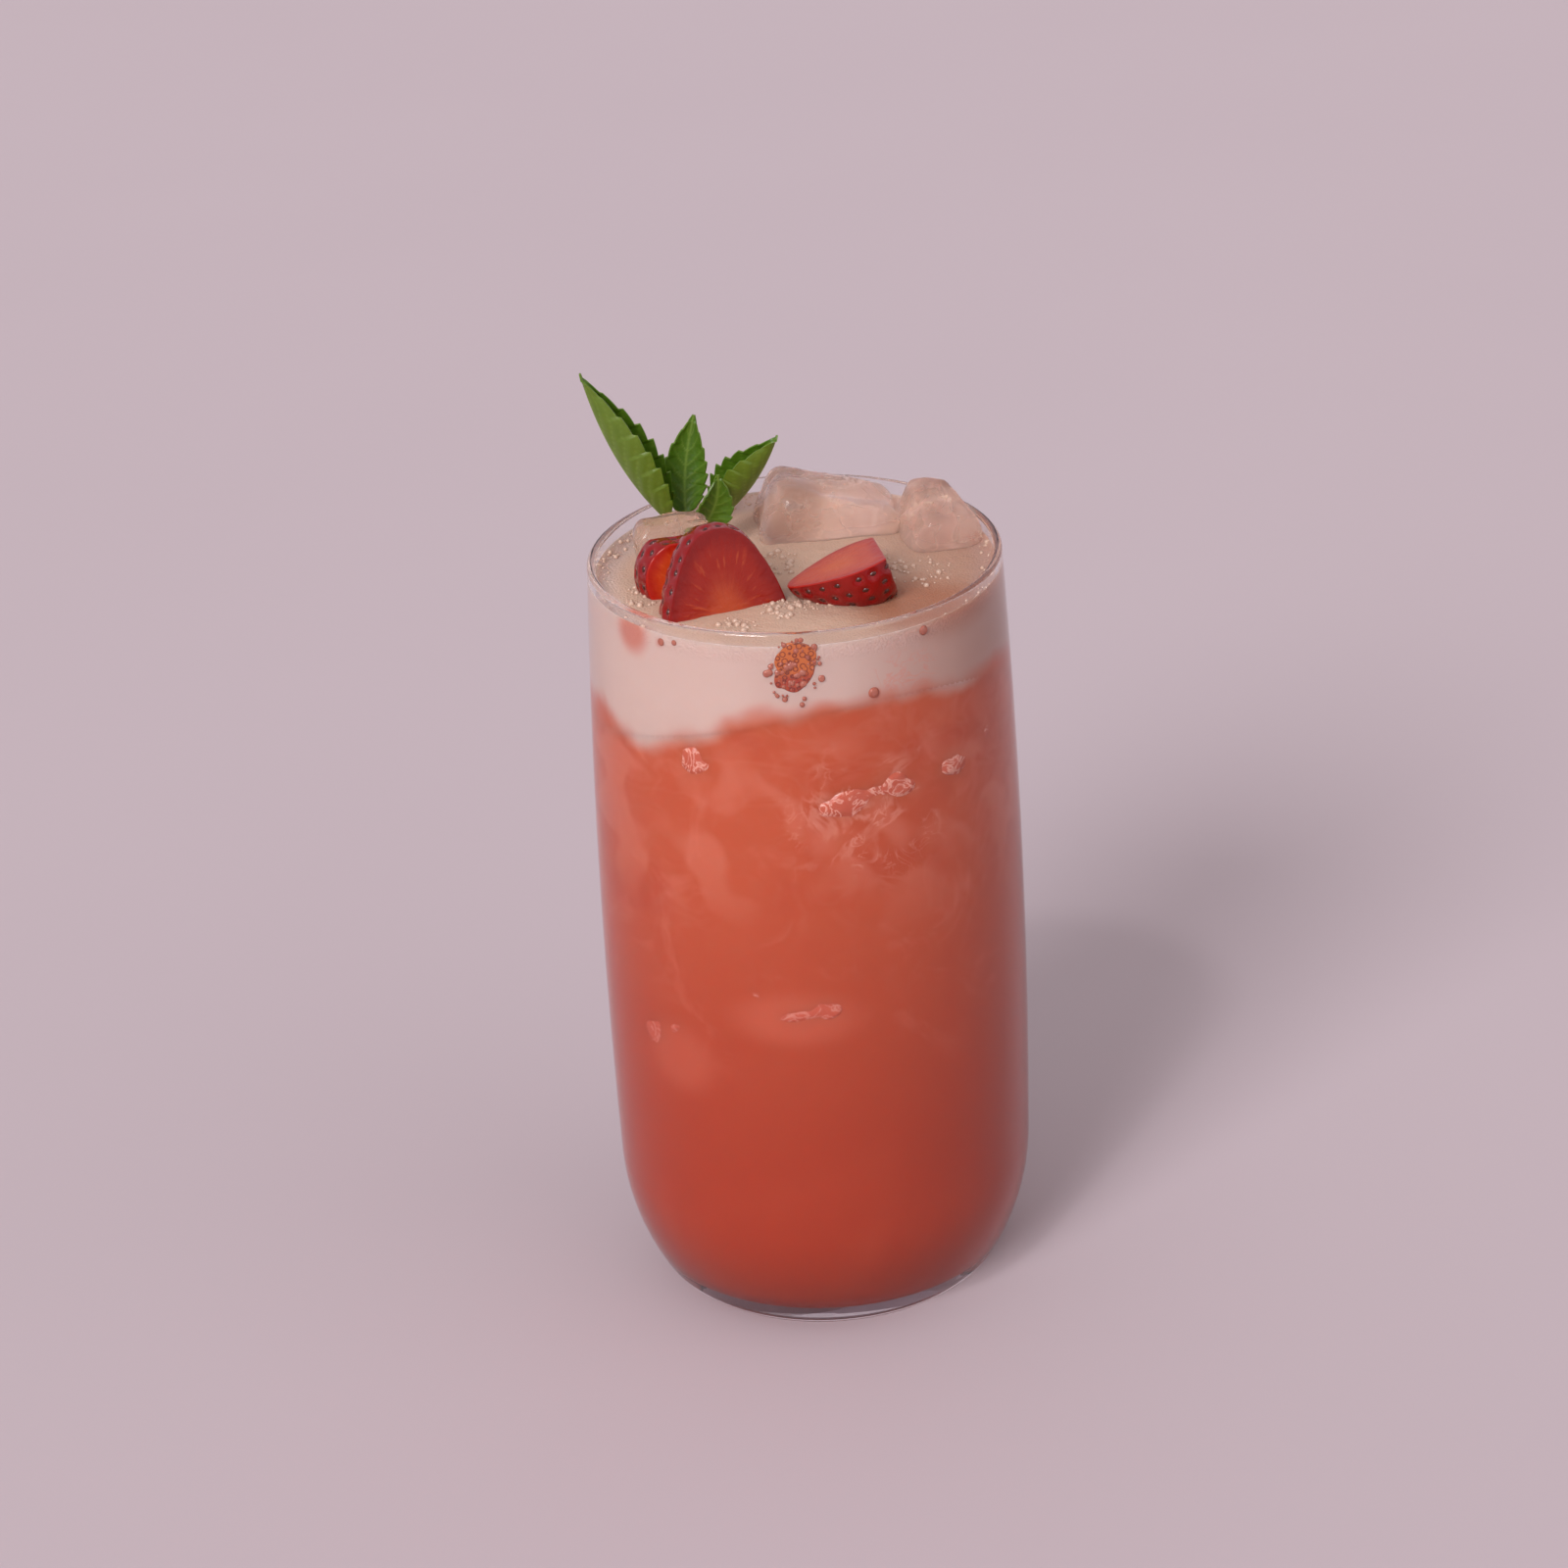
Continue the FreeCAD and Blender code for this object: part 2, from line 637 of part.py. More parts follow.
def make_fill_limit():
    """Everything below the foam's top: flat, and turned up where the foam clings to the wall."""
    body = new_body("fill_limit")
    sketch = new_sketch(body, "fill_outline")
    level = foam_level()
    cling = size("cling_radius")
    flat = mouth_radius() - size("cling_reach")
    beyond = belly_radius() + cling
    surface = line(sketch, (0, level, 0), (flat, level, 0))
    ring = arc(sketch, (flat, level + cling), cling, -90, 0)
    brim = line(sketch, (flat + cling, level + cling, 0), (beyond, level + cling, 0))
    wall = line(sketch, (beyond, level + cling, 0), (beyond, 0, 0))
    bottom = line(sketch, (beyond, 0, 0), (0, 0, 0))
    axis = line(sketch, (0, 0, 0), (0, level, 0))
    for edge, kind in ((surface, "Horizontal"), (brim, "Horizontal"), (wall, "Vertical"),
                       (bottom, "Horizontal"), (axis, "Vertical")):
        rule(sketch, kind, edge)
    rule(sketch, "Tangent", surface, END, ring, START)
    rule(sketch, "Coincident", ring, END, brim, START)
    rule(sketch, "Coincident", brim, END, wall, START)
    rule(sketch, "Coincident", wall, END, bottom, START)
    rule(sketch, "Coincident", bottom, END, axis, START)
    rule(sketch, "Coincident", axis, END, surface, START)
    rule(sketch, "Coincident", axis, START, *ROOT_POINT)
    rule(sketch, "Horizontal", ring, CENTRE, ring, END)
    dimension(sketch, "DistanceY", (*ROOT_POINT, surface, START), level, FOAM_LEVEL)
    dimension(sketch, "DistanceX", (*ROOT_POINT, surface, END), flat, f"{MOUTH_RADIUS} - sizes.cling_reach")
    dimension(sketch, "Radius", (ring,), cling, "sizes.cling_radius")
    dimension(sketch, "DistanceX", (*ROOT_POINT, wall, START), beyond,
              f"{BELLY_RADIUS} + sizes.cling_radius")
    revolve(body, sketch, "fill")
    return body


def foam_underside(x, y):
    """Height of the wavy boundary where the foam ends and the drink begins."""
    across, depth = x / mouth_radius(), y / mouth_radius()
    return (
        foam_level() - size("foam_depth")
        + size("foam_tilt_right") * across
        + size("foam_tilt_back") * depth
        + size("foam_saddle") * (across ** 2 - depth ** 2)
        + size("foam_twist") * 2 * across * depth
    )


def make_drink_limit():
    """Everything below the foam: a block with the wavy boundary as its top."""
    reach = 1.05 * belly_radius()
    steps = 6
    places = [reach * (2 * step / steps - 1) for step in range(steps + 1)]
    grid = [[Vector(x, y, foam_underside(x, y)) for y in places] for x in places]
    surface = Part.BSplineSurface()
    surface.interpolate(grid)
    block = doc.addObject("Part::Feature", "drink_limit")
    block.Shape = surface.toShape().extrude(Vector(0, 0, -size("glass_height")))
    block.Placement = FreeCAD.Placement()
    return block


# ---------------------------------------------------------------------------------------------
# The model

glass = make_glass()
mouth = make_mouth()

middle_berry = keep_clear(
    "strawberry_middle",
    make_berry("middle_berry", "3.5", 0, lying(tip=(-0.09, 0.25, 0.96), face=(0.36, -0.93, 0.2))),
    mouth, [])
left_berry = keep_clear(
    "strawberry_left",
    make_berry("left_berry", "6", 1.5, lying(tip=(0.05, -0.12, -1), face=(0.08, -0.95, 0.25))),
    mouth, [middle_berry])
right_berry = keep_clear(
    "strawberry_right",
    make_berry("right_berry", "0", 3.6, lying(tip=(-0.943, -0.149, -0.296), face=(-0.315, 0.121, 0.941))),
    mouth, [middle_berry])
berries = [middle_berry, left_berry, right_berry]

ice_large = keep_clear(
    "ice_large",
    make_ice("large_ice", Rotation(Vector(0, 0, 1), 6) * Rotation(Vector(0, 1, 0), 16)),
    mouth, berries)
ice_right = keep_clear(
    "ice_right",
    make_ice("right_ice", Rotation(Vector(0, 0, 1), 12) * Rotation(Vector(0, 1, 0), 18)
             * Rotation(Vector(1, 0, 0), 12)),
    mouth, [*berries, ice_large])
ice_left = keep_clear(
    "ice_left",
    make_ice("left_ice", Rotation(Vector(0, 0, 1), 8)),
    mouth, [*berries, ice_large])
mint, mint_stem = make_mint()

sunk_pieces = [*berries, ice_large, ice_right, ice_left, mint_stem]

contents = boolean("Common", "contents", make_inside(), make_fill_limit())
drink_limit = make_drink_limit()
drink = cut_round("drink", boolean("Common", "drink_whole", contents, drink_limit), sunk_pieces)
foam = cut_round("foam", boolean("Cut", "foam_whole", contents, drink_limit), sunk_pieces)
doc.recompute()

for item in doc.Objects:
    if "Invalid" in item.State or "Error" in item.State:
        raise RuntimeError(f"{item.Label} did not compute: {item.State}")

nodes = [glass, drink, foam, ice_large, ice_right, ice_left, *berries, mint]
for node in nodes:
    shape = node.Shape
    if shape.isNull() or not shape.isValid() or len(shape.Solids) != 1:
        raise RuntimeError(f"{node.Label} is not one valid solid: {len(shape.Solids)} solids")

os.makedirs("parts", exist_ok=True)
for node in nodes:
    node.Shape.exportStep(f"parts/{node.Label}.step")
    box = node.Shape.BoundBox
    print(f"{node.Label}: {node.Shape.Volume / 1000:.2f} cm3, x {box.XMin:.1f} to {box.XMax:.1f}, "
          f"y {box.YMin:.1f} to {box.YMax:.1f}, z {box.ZMin:.1f} to {box.ZMax:.1f}")
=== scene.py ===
# %% [markdown]
# # A glass of pink lemonade
# A tall tumbler holds a cloudy coral drink under a thick head of foam. Three ice blocks, three
# pieces of strawberry and a sprig of mint stand in the foam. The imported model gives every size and
# place. The glass keeps its own mesh, because a turned shape is already exact. Everything soft,
# melted or grown is made again here, in the same place, with finer form and its own finish.

import math

import bpy
import numpy as np
from mathutils import Matrix, Quaternion, Vector, noise


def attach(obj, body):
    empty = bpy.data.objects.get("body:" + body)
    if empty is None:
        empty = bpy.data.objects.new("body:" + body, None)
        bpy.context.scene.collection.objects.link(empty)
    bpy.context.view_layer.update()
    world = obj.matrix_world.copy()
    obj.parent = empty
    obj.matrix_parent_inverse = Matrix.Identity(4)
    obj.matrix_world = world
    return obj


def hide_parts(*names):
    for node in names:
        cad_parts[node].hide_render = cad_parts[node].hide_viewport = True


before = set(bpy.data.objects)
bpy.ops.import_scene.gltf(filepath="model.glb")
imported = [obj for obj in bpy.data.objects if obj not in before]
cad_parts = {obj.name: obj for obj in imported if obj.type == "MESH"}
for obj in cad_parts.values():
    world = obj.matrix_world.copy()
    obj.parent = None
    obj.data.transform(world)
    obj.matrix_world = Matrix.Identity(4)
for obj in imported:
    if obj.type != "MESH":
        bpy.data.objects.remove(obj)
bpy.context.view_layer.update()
print("nodes:", ", ".join(sorted(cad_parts)))

# %% [markdown]
# ## Camera
# The glass is seen from in front and above, with a long lens, so its sides stay nearly parallel.
# The camera is placed the way a person would say it: how far away, how high, where it looks and
# how many degrees it leans to one side.

# %% Stand the camera
CAMERA_DISTANCE = 0.750
CAMERA_ELEVATION = math.radians(27.6)
CAMERA_LEAN = math.radians(-3.24)
MIDDLE_OF_GLASS = Vector((0, 0, 0.070))
LOOK_AT = Vector((-0.00401, 0, 0.09522))


def put_in_scene(name, data):
    """An object in the scene that shows the data."""
    thing = bpy.data.objects.new(name, data)
    bpy.context.scene.collection.objects.link(thing)
    return thing


camera = put_in_scene("camera", bpy.data.cameras.new("camera"))
camera.data.lens, camera.data.sensor_width = 95.5, 36
camera.location = MIDDLE_OF_GLASS + CAMERA_DISTANCE * Vector(
    (0, -math.cos(CAMERA_ELEVATION), math.sin(CAMERA_ELEVATION)))
level = (LOOK_AT - camera.location).to_track_quat("-Z", "Y")
camera.rotation_mode = "QUATERNION"
camera.rotation_quaternion = level @ Quaternion((0, 0, 1), CAMERA_LEAN)
bpy.context.scene.camera = camera
bpy.context.scene.view_settings.view_transform = "Standard"
print("camera at", [round(number, 3) for number in camera.location])

# %% [markdown]
# ## Writing materials as sums
# A finish is easiest to read as a formula. The class below wraps a node's output so that `+`, `-`,
# `*` and `/` add Math nodes. Colours and vectors need their own nodes, so every other node comes
# from `node`, which sets the node's choices first and then its sockets. Lengths inside a material
# are in millimetres, the same as in the shapes.

# %% A socket that does sums
def fill(socket, value):
    """Links a wire to a socket, or writes a plain value on it."""
    if isinstance(value, Wire):
        value.tree.links.new(value.socket, socket)
    else:
        lacks_alpha = hasattr(value, "__len__") and len(value) < len(socket.default_value)
        socket.default_value = (*value, 1) if lacks_alpha else value


class Wire:
    """An output socket in a material, with the sums that a finish is written in."""

    def __init__(self, tree, socket=None):
        self.tree, self.socket = tree, socket

    def node(self, kind, settings=None, sockets=None, output=0):
        """Adds one node: its type, its settings, the values or wires of its sockets."""
        made = self.tree.nodes.new("ShaderNode" + kind)
        for name, value in (settings or {}).items():
            setattr(made, name, value)
        for name, value in (sockets or {}).items():
            fill(made.inputs[name], value)
        return Wire(self.tree, made.outputs[output])

    def maths(self, operation, *numbers):
        return self.node("Math", {"operation": operation}, dict(enumerate(numbers)))

    def __add__(self, other):
        return self.maths("ADD", self, other)

    def __radd__(self, other):
        return self.maths("ADD", other, self)

    def __sub__(self, other):
        return self.maths("SUBTRACT", self, other)

    def __rsub__(self, other):
        return self.maths("SUBTRACT", other, self)

    def __mul__(self, other):
        return self.maths("MULTIPLY", self, other)

    def __rmul__(self, other):
        return self.maths("MULTIPLY", other, self)

    def __truediv__(self, other):
        return self.maths("DIVIDE", self, other)


# %% Words that the finishes share
def ink(red, green, blue):
    """A colour from its 0 to 255 numbers, as light."""
    shares = [number / 255 for number in (red, green, blue)]
    return tuple(s / 12.92 if s <= 0.04045 else ((s + 0.055) / 1.055) ** 2.4 for s in shares)


def step(value, low, high):
    """0 below low, 1 above high, and a soft rise between."""
    return value.node("MapRange", {"interpolation_type": "SMOOTHSTEP"},
                      {"Value": value, "From Min": low, "From Max": high})


def blend(share, first, second):
    """The first colour where share is 0 and the second where it is 1."""
    return share.node("Mix", {"data_type": "RGBA"}, {0: share, 6: first, 7: second}, 2)


def stretch(vector, by):
    """A place stretched along the three axes."""
    return vector.node("VectorMath", {"operation": "MULTIPLY"}, {0: vector, 1: by})


def length(vector):
    """How long a vector is."""
    return vector.node("VectorMath", {"operation": "LENGTH"}, {0: vector}, "Value")


def reading(place, axis):
    """A place's number on the X, Y or Z axis."""
    return place.node("SeparateXYZ", {}, {"Vector": place}, axis)


def cloud(place, size, detail=2, roughness=0.5, warp=0):
    """Soft noise from 0 to 1, whose lumps are about size millimetres across."""
    return place.node("TexNoise", {}, {"Vector": place, "Scale": 1 / size, "Detail": detail,
                                       "Roughness": roughness, "Distortion": warp})


def veil(place, size, thin, detail=3, warp=1):
    """Thin curling lines, 1 on the line: where noise crosses its middle value."""
    away = cloud(place, size, detail, 0.55, warp) - 0.5
    return 1 - step(away.maths("ABSOLUTE", away), 0, thin)


def polar(radius, degrees, height):
    """A point so far from the axis, in a direction, at a height."""
    turn = math.radians(degrees)
    return np.array((radius * math.cos(turn), radius * math.sin(turn), height))


def spot(place, azimuth, height, across, tall, radius=37.0):
    """A soft mark on the wall, 1 at its middle and 0 beyond its edge."""
    centre = tuple(polar(radius, azimuth, height))
    away = place.node("VectorMath", {"operation": "SUBTRACT"}, {0: place, 1: centre})
    return 1 - step(length(stretch(away, (1 / across, 1 / across, 1 / tall))), 0.35, 1)


def new_finish(name):
    """An empty material, and the place in it in millimetres."""
    material = bpy.data.materials.new(name)
    material.use_nodes = True
    material.node_tree.nodes.clear()
    start = Wire(material.node_tree)
    metres = start.node("TexCoord", output="Object")
    place = start.node("VectorMath", {"operation": "SCALE"}, {0: metres, "Scale": 1000})
    return material, place


def close_finish(material, shader):
    """Puts the shader on the surface."""
    output = material.node_tree.nodes.new("ShaderNodeOutputMaterial")
    material.node_tree.links.new(shader.socket, output.inputs["Surface"])
    return material


def surface(place, colour, roughness, bumps=None, **more):
    """The general surface shader. An underscore in a socket's name here stands for a space."""
    sockets = {"Base Color": colour, "Roughness": roughness}
    if bumps is not None:
        sockets["Normal"] = bumps
    sockets.update((name.replace("_", " "), value) for name, value in more.items())
    return place.node("BsdfPrincipled", {}, sockets)


def bump(height, strength, depth_in_mm):
    """Small relief that only bends the light."""
    return height.node("Bump", {}, {
        "Strength": strength, "Distance": depth_in_mm / 1000, "Height": height}, "Normal")


print("shared words: ink, step, blend, cloud, veil, spot, surface, bump")

# %% [markdown]
# ## Floor and light
# The glass stands on a wide plain floor that reaches past the edge of every view. One broad soft
# lamp on the left in front gives the shade on the right and the long shadow behind. A wide weak lamp
# and an even sky fill the shade, and a small weak lamp makes the glints on wet things. Where a
# view, a mirrored ray or a ray through glass passes the floor's edge, it meets the floor's colour.

# %% Lay the floor
FLOOR_REACH = 30.0

floor_mesh = bpy.data.meshes.new("floor")
floor_mesh.from_pydata([(x * FLOOR_REACH, y * FLOOR_REACH, 0)
                        for x, y in ((-1, -1), (1, -1), (1, 1), (-1, 1))], [], [(0, 1, 2, 3)])
put_in_scene("floor", floor_mesh)

paper, place = new_finish("paper")
mottle = cloud(place, 160, 3)
shader = surface(place, blend(mottle, ink(199, 182, 190), ink(196, 179, 187)), 0.8)
floor_mesh.materials.append(close_finish(paper, shader))
print("floor laid,", 2 * FLOOR_REACH, "m wide")

# %% Hang the lamp and the sky
SKY_STRENGTH = 0.52
LAMPS = {
    "key": dict(comes_from=(-0.52, -0.82, 0.64), spread=24, strength=1.9),
    "fill": dict(comes_from=(0.85, -0.45, 0.45), spread=70, strength=0.45),
    "glint": dict(comes_from=(-0.30, -0.55, 0.85), spread=4, strength=0.3),
}

for name, lamp in LAMPS.items():
    lamp_data = bpy.data.lights.new(name, "SUN")
    lamp_data.energy, lamp_data.angle = lamp["strength"], math.radians(lamp["spread"])
    lamp_object = put_in_scene(name, lamp_data)
    lamp_object.rotation_mode = "QUATERNION"
    lamp_object.rotation_quaternion = Vector(lamp["comes_from"]).to_track_quat("Z", "Y")

sky = bpy.data.worlds.new("sky")
bpy.context.scene.world = sky
sky.use_nodes = True
sky.node_tree.nodes.clear()
start = Wire(sky.node_tree)
unseen = 1
for ray in ("Is Camera Ray", "Is Glossy Ray", "Is Transmission Ray"):
    unseen = unseen * (1 - start.node("LightPath", output=ray))
seen = 1 - unseen
glow = start.node("Background", {}, {"Color": ink(255, 250, 250), "Strength": SKY_STRENGTH})
behind = start.node("Background", {}, {"Color": ink(196, 178, 188), "Strength": 1.0})
both = start.node("MixShader", {}, {0: seen, 1: glow, 2: behind})
output = sky.node_tree.nodes.new("ShaderNodeOutputWorld")
sky.node_tree.links.new(both.socket, output.inputs["Surface"])
print("lamps:", ", ".join(LAMPS), "sky strength", SKY_STRENGTH)

# %% [markdown]
# ## Glass
# The tumbler is turned and blown, with a thick clear foot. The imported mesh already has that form,
# so it stays and only gets glass. Real glass lets light through to what is inside, but a traced
# shadow ray stops at the first surface. The material is therefore clear to shadow rays.

# %% Finish the glass
GLASS_IOR, ICE_IOR = 1.5, 1.31


def lets_light_in(place, body, tint):
    """A shader that looks like body, but lets shadow rays through with a tint."""
    return place.node("MixShader", {}, {
        0: place.node("LightPath", output="Is Shadow Ray"), 1: body,
        2: place.node("BsdfTransparent", {}, {"Color": tint})})


glass_finish, place = new_finish("clear_glass")
body = surface(place, (1.0, 1.0, 1.0), 0.02, IOR=GLASS_IOR, Transmission_Weight=1.0)
close_finish(glass_finish, lets_light_in(place, body, (0.94, 0.95, 0.95)))


glass_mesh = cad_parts["glass"].data
glass_mesh.materials.clear()
glass_mesh.materials.append(glass_finish)
for face in glass_mesh.polygons:
    face.use_smooth = True
print("glass faces:", len(glass_mesh.polygons))

# %% [markdown]
# ## Meshes from rows of points
# Most pieces here are a skin over rows of points: rings up a glass, rings round a berry, rows along
# a leaf. One helper turns such a table into a smooth closed mesh, with a single point at each end
# where the rows close.

# %% Make a piece
MM = 0.001


SHARP_BEND = math.radians(50)


def make_piece(name, points, faces, finishes, face_finish=None, facts=None):
    """A mesh object from points in millimetres, riding on the model's one body.

    Edges that bend by more than SHARP_BEND stay sharp, and the rest are smooth.
    """
    mesh = bpy.data.meshes.new(name)
    mesh.from_pydata([tuple(point) for point in np.asarray(points) * MM], [], faces)
    for material in finishes:
        mesh.materials.append(material)
    mesh.polygons.foreach_set("use_smooth", [True] * len(mesh.polygons))
    if face_finish is not None:
        mesh.polygons.foreach_set("material_index", face_finish)
    for title, values in (facts or {}).items():
        attribute = mesh.attributes.new(title, "FLOAT", "POINT")
        attribute.data.foreach_set("value", np.asarray(values, dtype=np.float32))
    mesh.update()
    mesh.set_sharp_from_angle(angle=SHARP_BEND)
    piece = put_in_scene(name, mesh)
    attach(piece, "root")
    return piece


# %% Make a skin over rows
def turns_round(count):
    """Angles evenly round a circle."""
    return np.linspace(0, 2 * math.pi, count, endpoint=False)


def skin(rows, first, last):
    """Points and faces of a tube of rings, closed by a point at either end."""
    rows = np.asarray(rows, float)
    count, columns = rows.shape[:2]
    points = [tuple(point) for point in rows.reshape(-1, 3)]
    faces = []
    for row in range(count - 1):
        for column in range(columns):
            beside = (column + 1) % columns
            faces.append((row * columns + column, row * columns + beside,
                          (row + 1) * columns + beside, (row + 1) * columns + column))
    for point, row in ((first, 0), (last, count - 1)):
        points.append(tuple(point))
        middle = len(points) - 1
        for column in range(columns):
            pair = (row * columns + column, row * columns + (column + 1) % columns)
            faces.append((*pair[::-1], middle) if row == 0 else (*pair, middle))
    return points, faces


def gather(parts):
    """Many tables of points and faces as one."""
    points, faces = [], []
    for more, squares in parts:
        faces += [[corner + len(points) for corner in square] for square in squares]
        points += more
    return points, faces


print("pieces are made in mm and stand in metres, times", MM)

# %% [markdown]
# ## The room inside the glass
# The drink takes the shape of the inside of the tumbler: a flat floor, two arcs round the heel and
# one long arc up the side. Its skin lies a little inside the wall, because a gap of air there would
# shine like a mirror.

# %% Work out the inside
GLASS_HEIGHT, RIM_RADIUS, BELLY_RADIUS, BELLY_HEIGHT = 140, 35.9, 38.1, 60
WALL, FLOOR_LEVEL, FOOT_RADIUS, HEEL_HEIGHT, HEEL_BEND = 1.4, 5.5, 24.5, 24, 8
INTO_WALL = 0.35
FOAM_LEVEL, FOAM_DEPTH = 135.6, 19
WAVE_REACH = 34.5  # radius at which the boundary's slopes are counted

swell = BELLY_RADIUS - RIM_RADIUS
side_radius = (swell ** 2 + (GLASS_HEIGHT - BELLY_HEIGHT) ** 2) / (2 * swell)
side_centre = np.array((BELLY_RADIUS - side_radius, BELLY_HEIGHT))
inner_radius = side_radius - WALL


def inside_radius(height, into=0.0):
    """Radius of the inner side at a height above the heel, or of a skin that far into the wall."""
    return side_centre[0] + np.sqrt((inner_radius + into) ** 2 - (height - side_centre[1]) ** 2)


def heel_outline(into):
    """Radius and height from the middle of the floor round the heel, up to the side."""
    turn = math.asin((HEEL_HEIGHT - BELLY_HEIGHT) / inner_radius)
    outward = np.array((math.cos(turn), math.sin(turn)))
    heel_end = side_centre + inner_radius * outward
    bend_centre = np.array((FOOT_RADIUS, FLOOR_LEVEL + HEEL_BEND))
    gap = heel_end - bend_centre
    heel_radius = (gap @ gap - HEEL_BEND ** 2) / (2 * (gap @ outward - HEEL_BEND))
    heel_centre = heel_end - heel_radius * outward
    meet = math.atan2(*(bend_centre - heel_centre)[::-1])
    outline = [(radius, FLOOR_LEVEL - into) for radius in np.linspace(1.5, FOOT_RADIUS, 8)[:-1]]
    for centre, radius, begin, end, count in (
            (bend_centre, HEEL_BEND + into, -math.pi / 2, meet, 10),
            (heel_centre, heel_radius + into, meet, turn, 12)):
        for angle in np.linspace(begin, end, count)[:-1]:
            outline.append((centre[0] + radius * math.cos(angle), centre[1] + radius * math.sin(angle)))
    return outline


def boundary(x, y):
    """Height of the wavy place where the drink ends and the foam begins, for numbers or wires."""
    across, back = x / WAVE_REACH, y / WAVE_REACH
    return (FOAM_LEVEL - FOAM_DEPTH + 1.75 * across - 6.7 * back
            - 1.3 * (across * across - back * back) - 4 * across * back)


print("inner radius at the foam:", round(float(inside_radius(FOAM_LEVEL)), 2), "mm")

# %% [markdown]
# ## Drink and foam finishes
# Lemonade with fruit pulp is cloudy, so light enters a few millimetres and comes back softly. The
# foam is a mass of fine bubbles that turns nearly white. They meet in a soft band and not at a
# line, so both finishes hold the same formula for that band. In the drink the melting ice leaves
# pale veils where it presses on the glass.

# %% The band between drink and foam
def foam_share(place):
    """0 in the drink and 1 in the foam, across a soft band with slow waves."""
    x, y, height = (reading(place, axis) for axis in "XYZ")
    waves = 6.5 * (cloud(place, 17, 1, 0.4, 0.4) - 0.5) + 2.5 * (cloud(place, 6, 1, 0.4, 0.4) - 0.5)
    risen = (2.2 * spot(place, -103, 124, 9, 10) - 2.0 * spot(place, -131, 119, 15, 12)
             + 3.5 * spot(place, -168, 124, 18, 14) + 3.5 * spot(place, -18, 121, 16, 10))
    return step(height - boundary(x, y) - waves - risen, -2.2, 2.8), height


# %% Finish the drink
DRINK_TOP, DRINK_DEEP = ink(188, 86, 52), ink(166, 54, 24)
FOAM_COLOUR, FOAM_SHADE = ink(204, 178, 170), ink(192, 158, 148)

drink_finish, place = new_finish("lemonade")
in_foam, height = foam_share(place)
depth = step(height, 115, 20)
pulp = cloud(place, 22, 3, 0.5, 0.8)
colour = blend(depth, DRINK_TOP, DRINK_DEEP)
colour = blend(0.55 * step(pulp, 0.42, 0.75), colour, ink(174, 64, 34))
melt = step(cloud(place, 13, 4, 0.6, 1.2), 0.5, 0.72) * step(height, 48, 75)
colour = blend(0.35 * melt, colour, ink(206, 112, 90))
chunk = spot(place, -74, 106, 19, 17)
low_chunk = spot(place, -96, 68, 15, 7)
left_chunk = spot(place, -131, 57, 10, 9)
colour = blend(0.45 * low_chunk + 0.35 * left_chunk, colour, ink(202, 104, 80))
streaks = veil(place, 10, 0.07, 4, 1.4) * step(cloud(place, 8, 2), 0.42, 0.62) * (0.08 + chunk)
colour = blend(0.5 * streaks * step(height, 60, 85), colour, ink(216, 146, 128))
upper_part = step(height, 78, 100) * step(height, 124, 112)
patches = step(cloud(place, 9, 1, 0.3, 0.5), 0.46, 0.64) * upper_part
colour = blend(0.4 * patches, colour, ink(208, 124, 102))
threads = veil(place, 5.5, 0.035, 3, 2.0) * chunk * step(cloud(place, 6, 2), 0.5, 0.6)
colour = blend(0.4 * threads, colour, ink(222, 164, 146))
wisps = veil(stretch(place, (1, 1, 1.8)), 14, 0.07, 3, 1.2) * step(height, 90, 118)
colour = blend(0.1 * wisps, colour, ink(206, 130, 110))
colour = blend(in_foam, colour, FOAM_COLOUR)
close_finish(drink_finish, surface(
    place, colour, 0.35, bump(cloud(place, 0.8, 2), 0.1, 0.2), Specular_IOR_Level=0.1,
    Subsurface_Weight=0.5, Subsurface_Radius=(1.0, 0.35, 0.2), Subsurface_Scale=0.012))
print("drink finish made")

# %% Finish the foam
foam_finish, place = new_finish("foam")
in_foam, height = foam_share(place)
colour = blend(0.6 * cloud(place, 12, 3), FOAM_COLOUR, FOAM_SHADE)
out = length(stretch(place, (1, 1, 0)))
colour = blend(step(height, 130, 134) * step(out, 33.6, 29.0), colour, ink(204, 168, 148))
# Painted shade: the foam turns darker towards the right, the side away from the key lamp.
colour = blend(0.6 * step(reading(place, "X"), 2, 34), colour, ink(166, 116, 98))
colour = blend(0.8 * spot(place, -38, 137, 16, 7, radius=26), colour, ink(164, 102, 74))
DRINK_SHOWS = ((-142, 136.0, 5.5), (-131, 135.8, 1.6), (-54, 136.3, 1.3), (-70, 127.4, 1.5))
for azimuth, level_up, size in DRINK_SHOWS:
    shows = spot(place, azimuth, level_up, size, size, radius=36)
    colour = blend(0.8 * shows, colour, ink(190, 104, 84))
drawn = veil(place, 5, 0.04, 3, 2) * spot(place, -60, 130, 9, 5, radius=36)
colour = blend(0.45 * drawn, colour, ink(206, 128, 112))
colour = blend(in_foam, DRINK_TOP, colour)
cells = place.node("TexVoronoi", {"feature": "SMOOTH_F1"}, {"Vector": place, "Scale": 2.6}, "Distance")
close_finish(foam_finish, surface(
    place, colour, 0.5, bump(cells * step(height, 134, 135.5), 0.5, 0.3), Specular_IOR_Level=0.2,
    Subsurface_Weight=0.35, Subsurface_Radius=(1.0, 0.6, 0.45), Subsurface_Scale=0.005))
print("foam finish made")
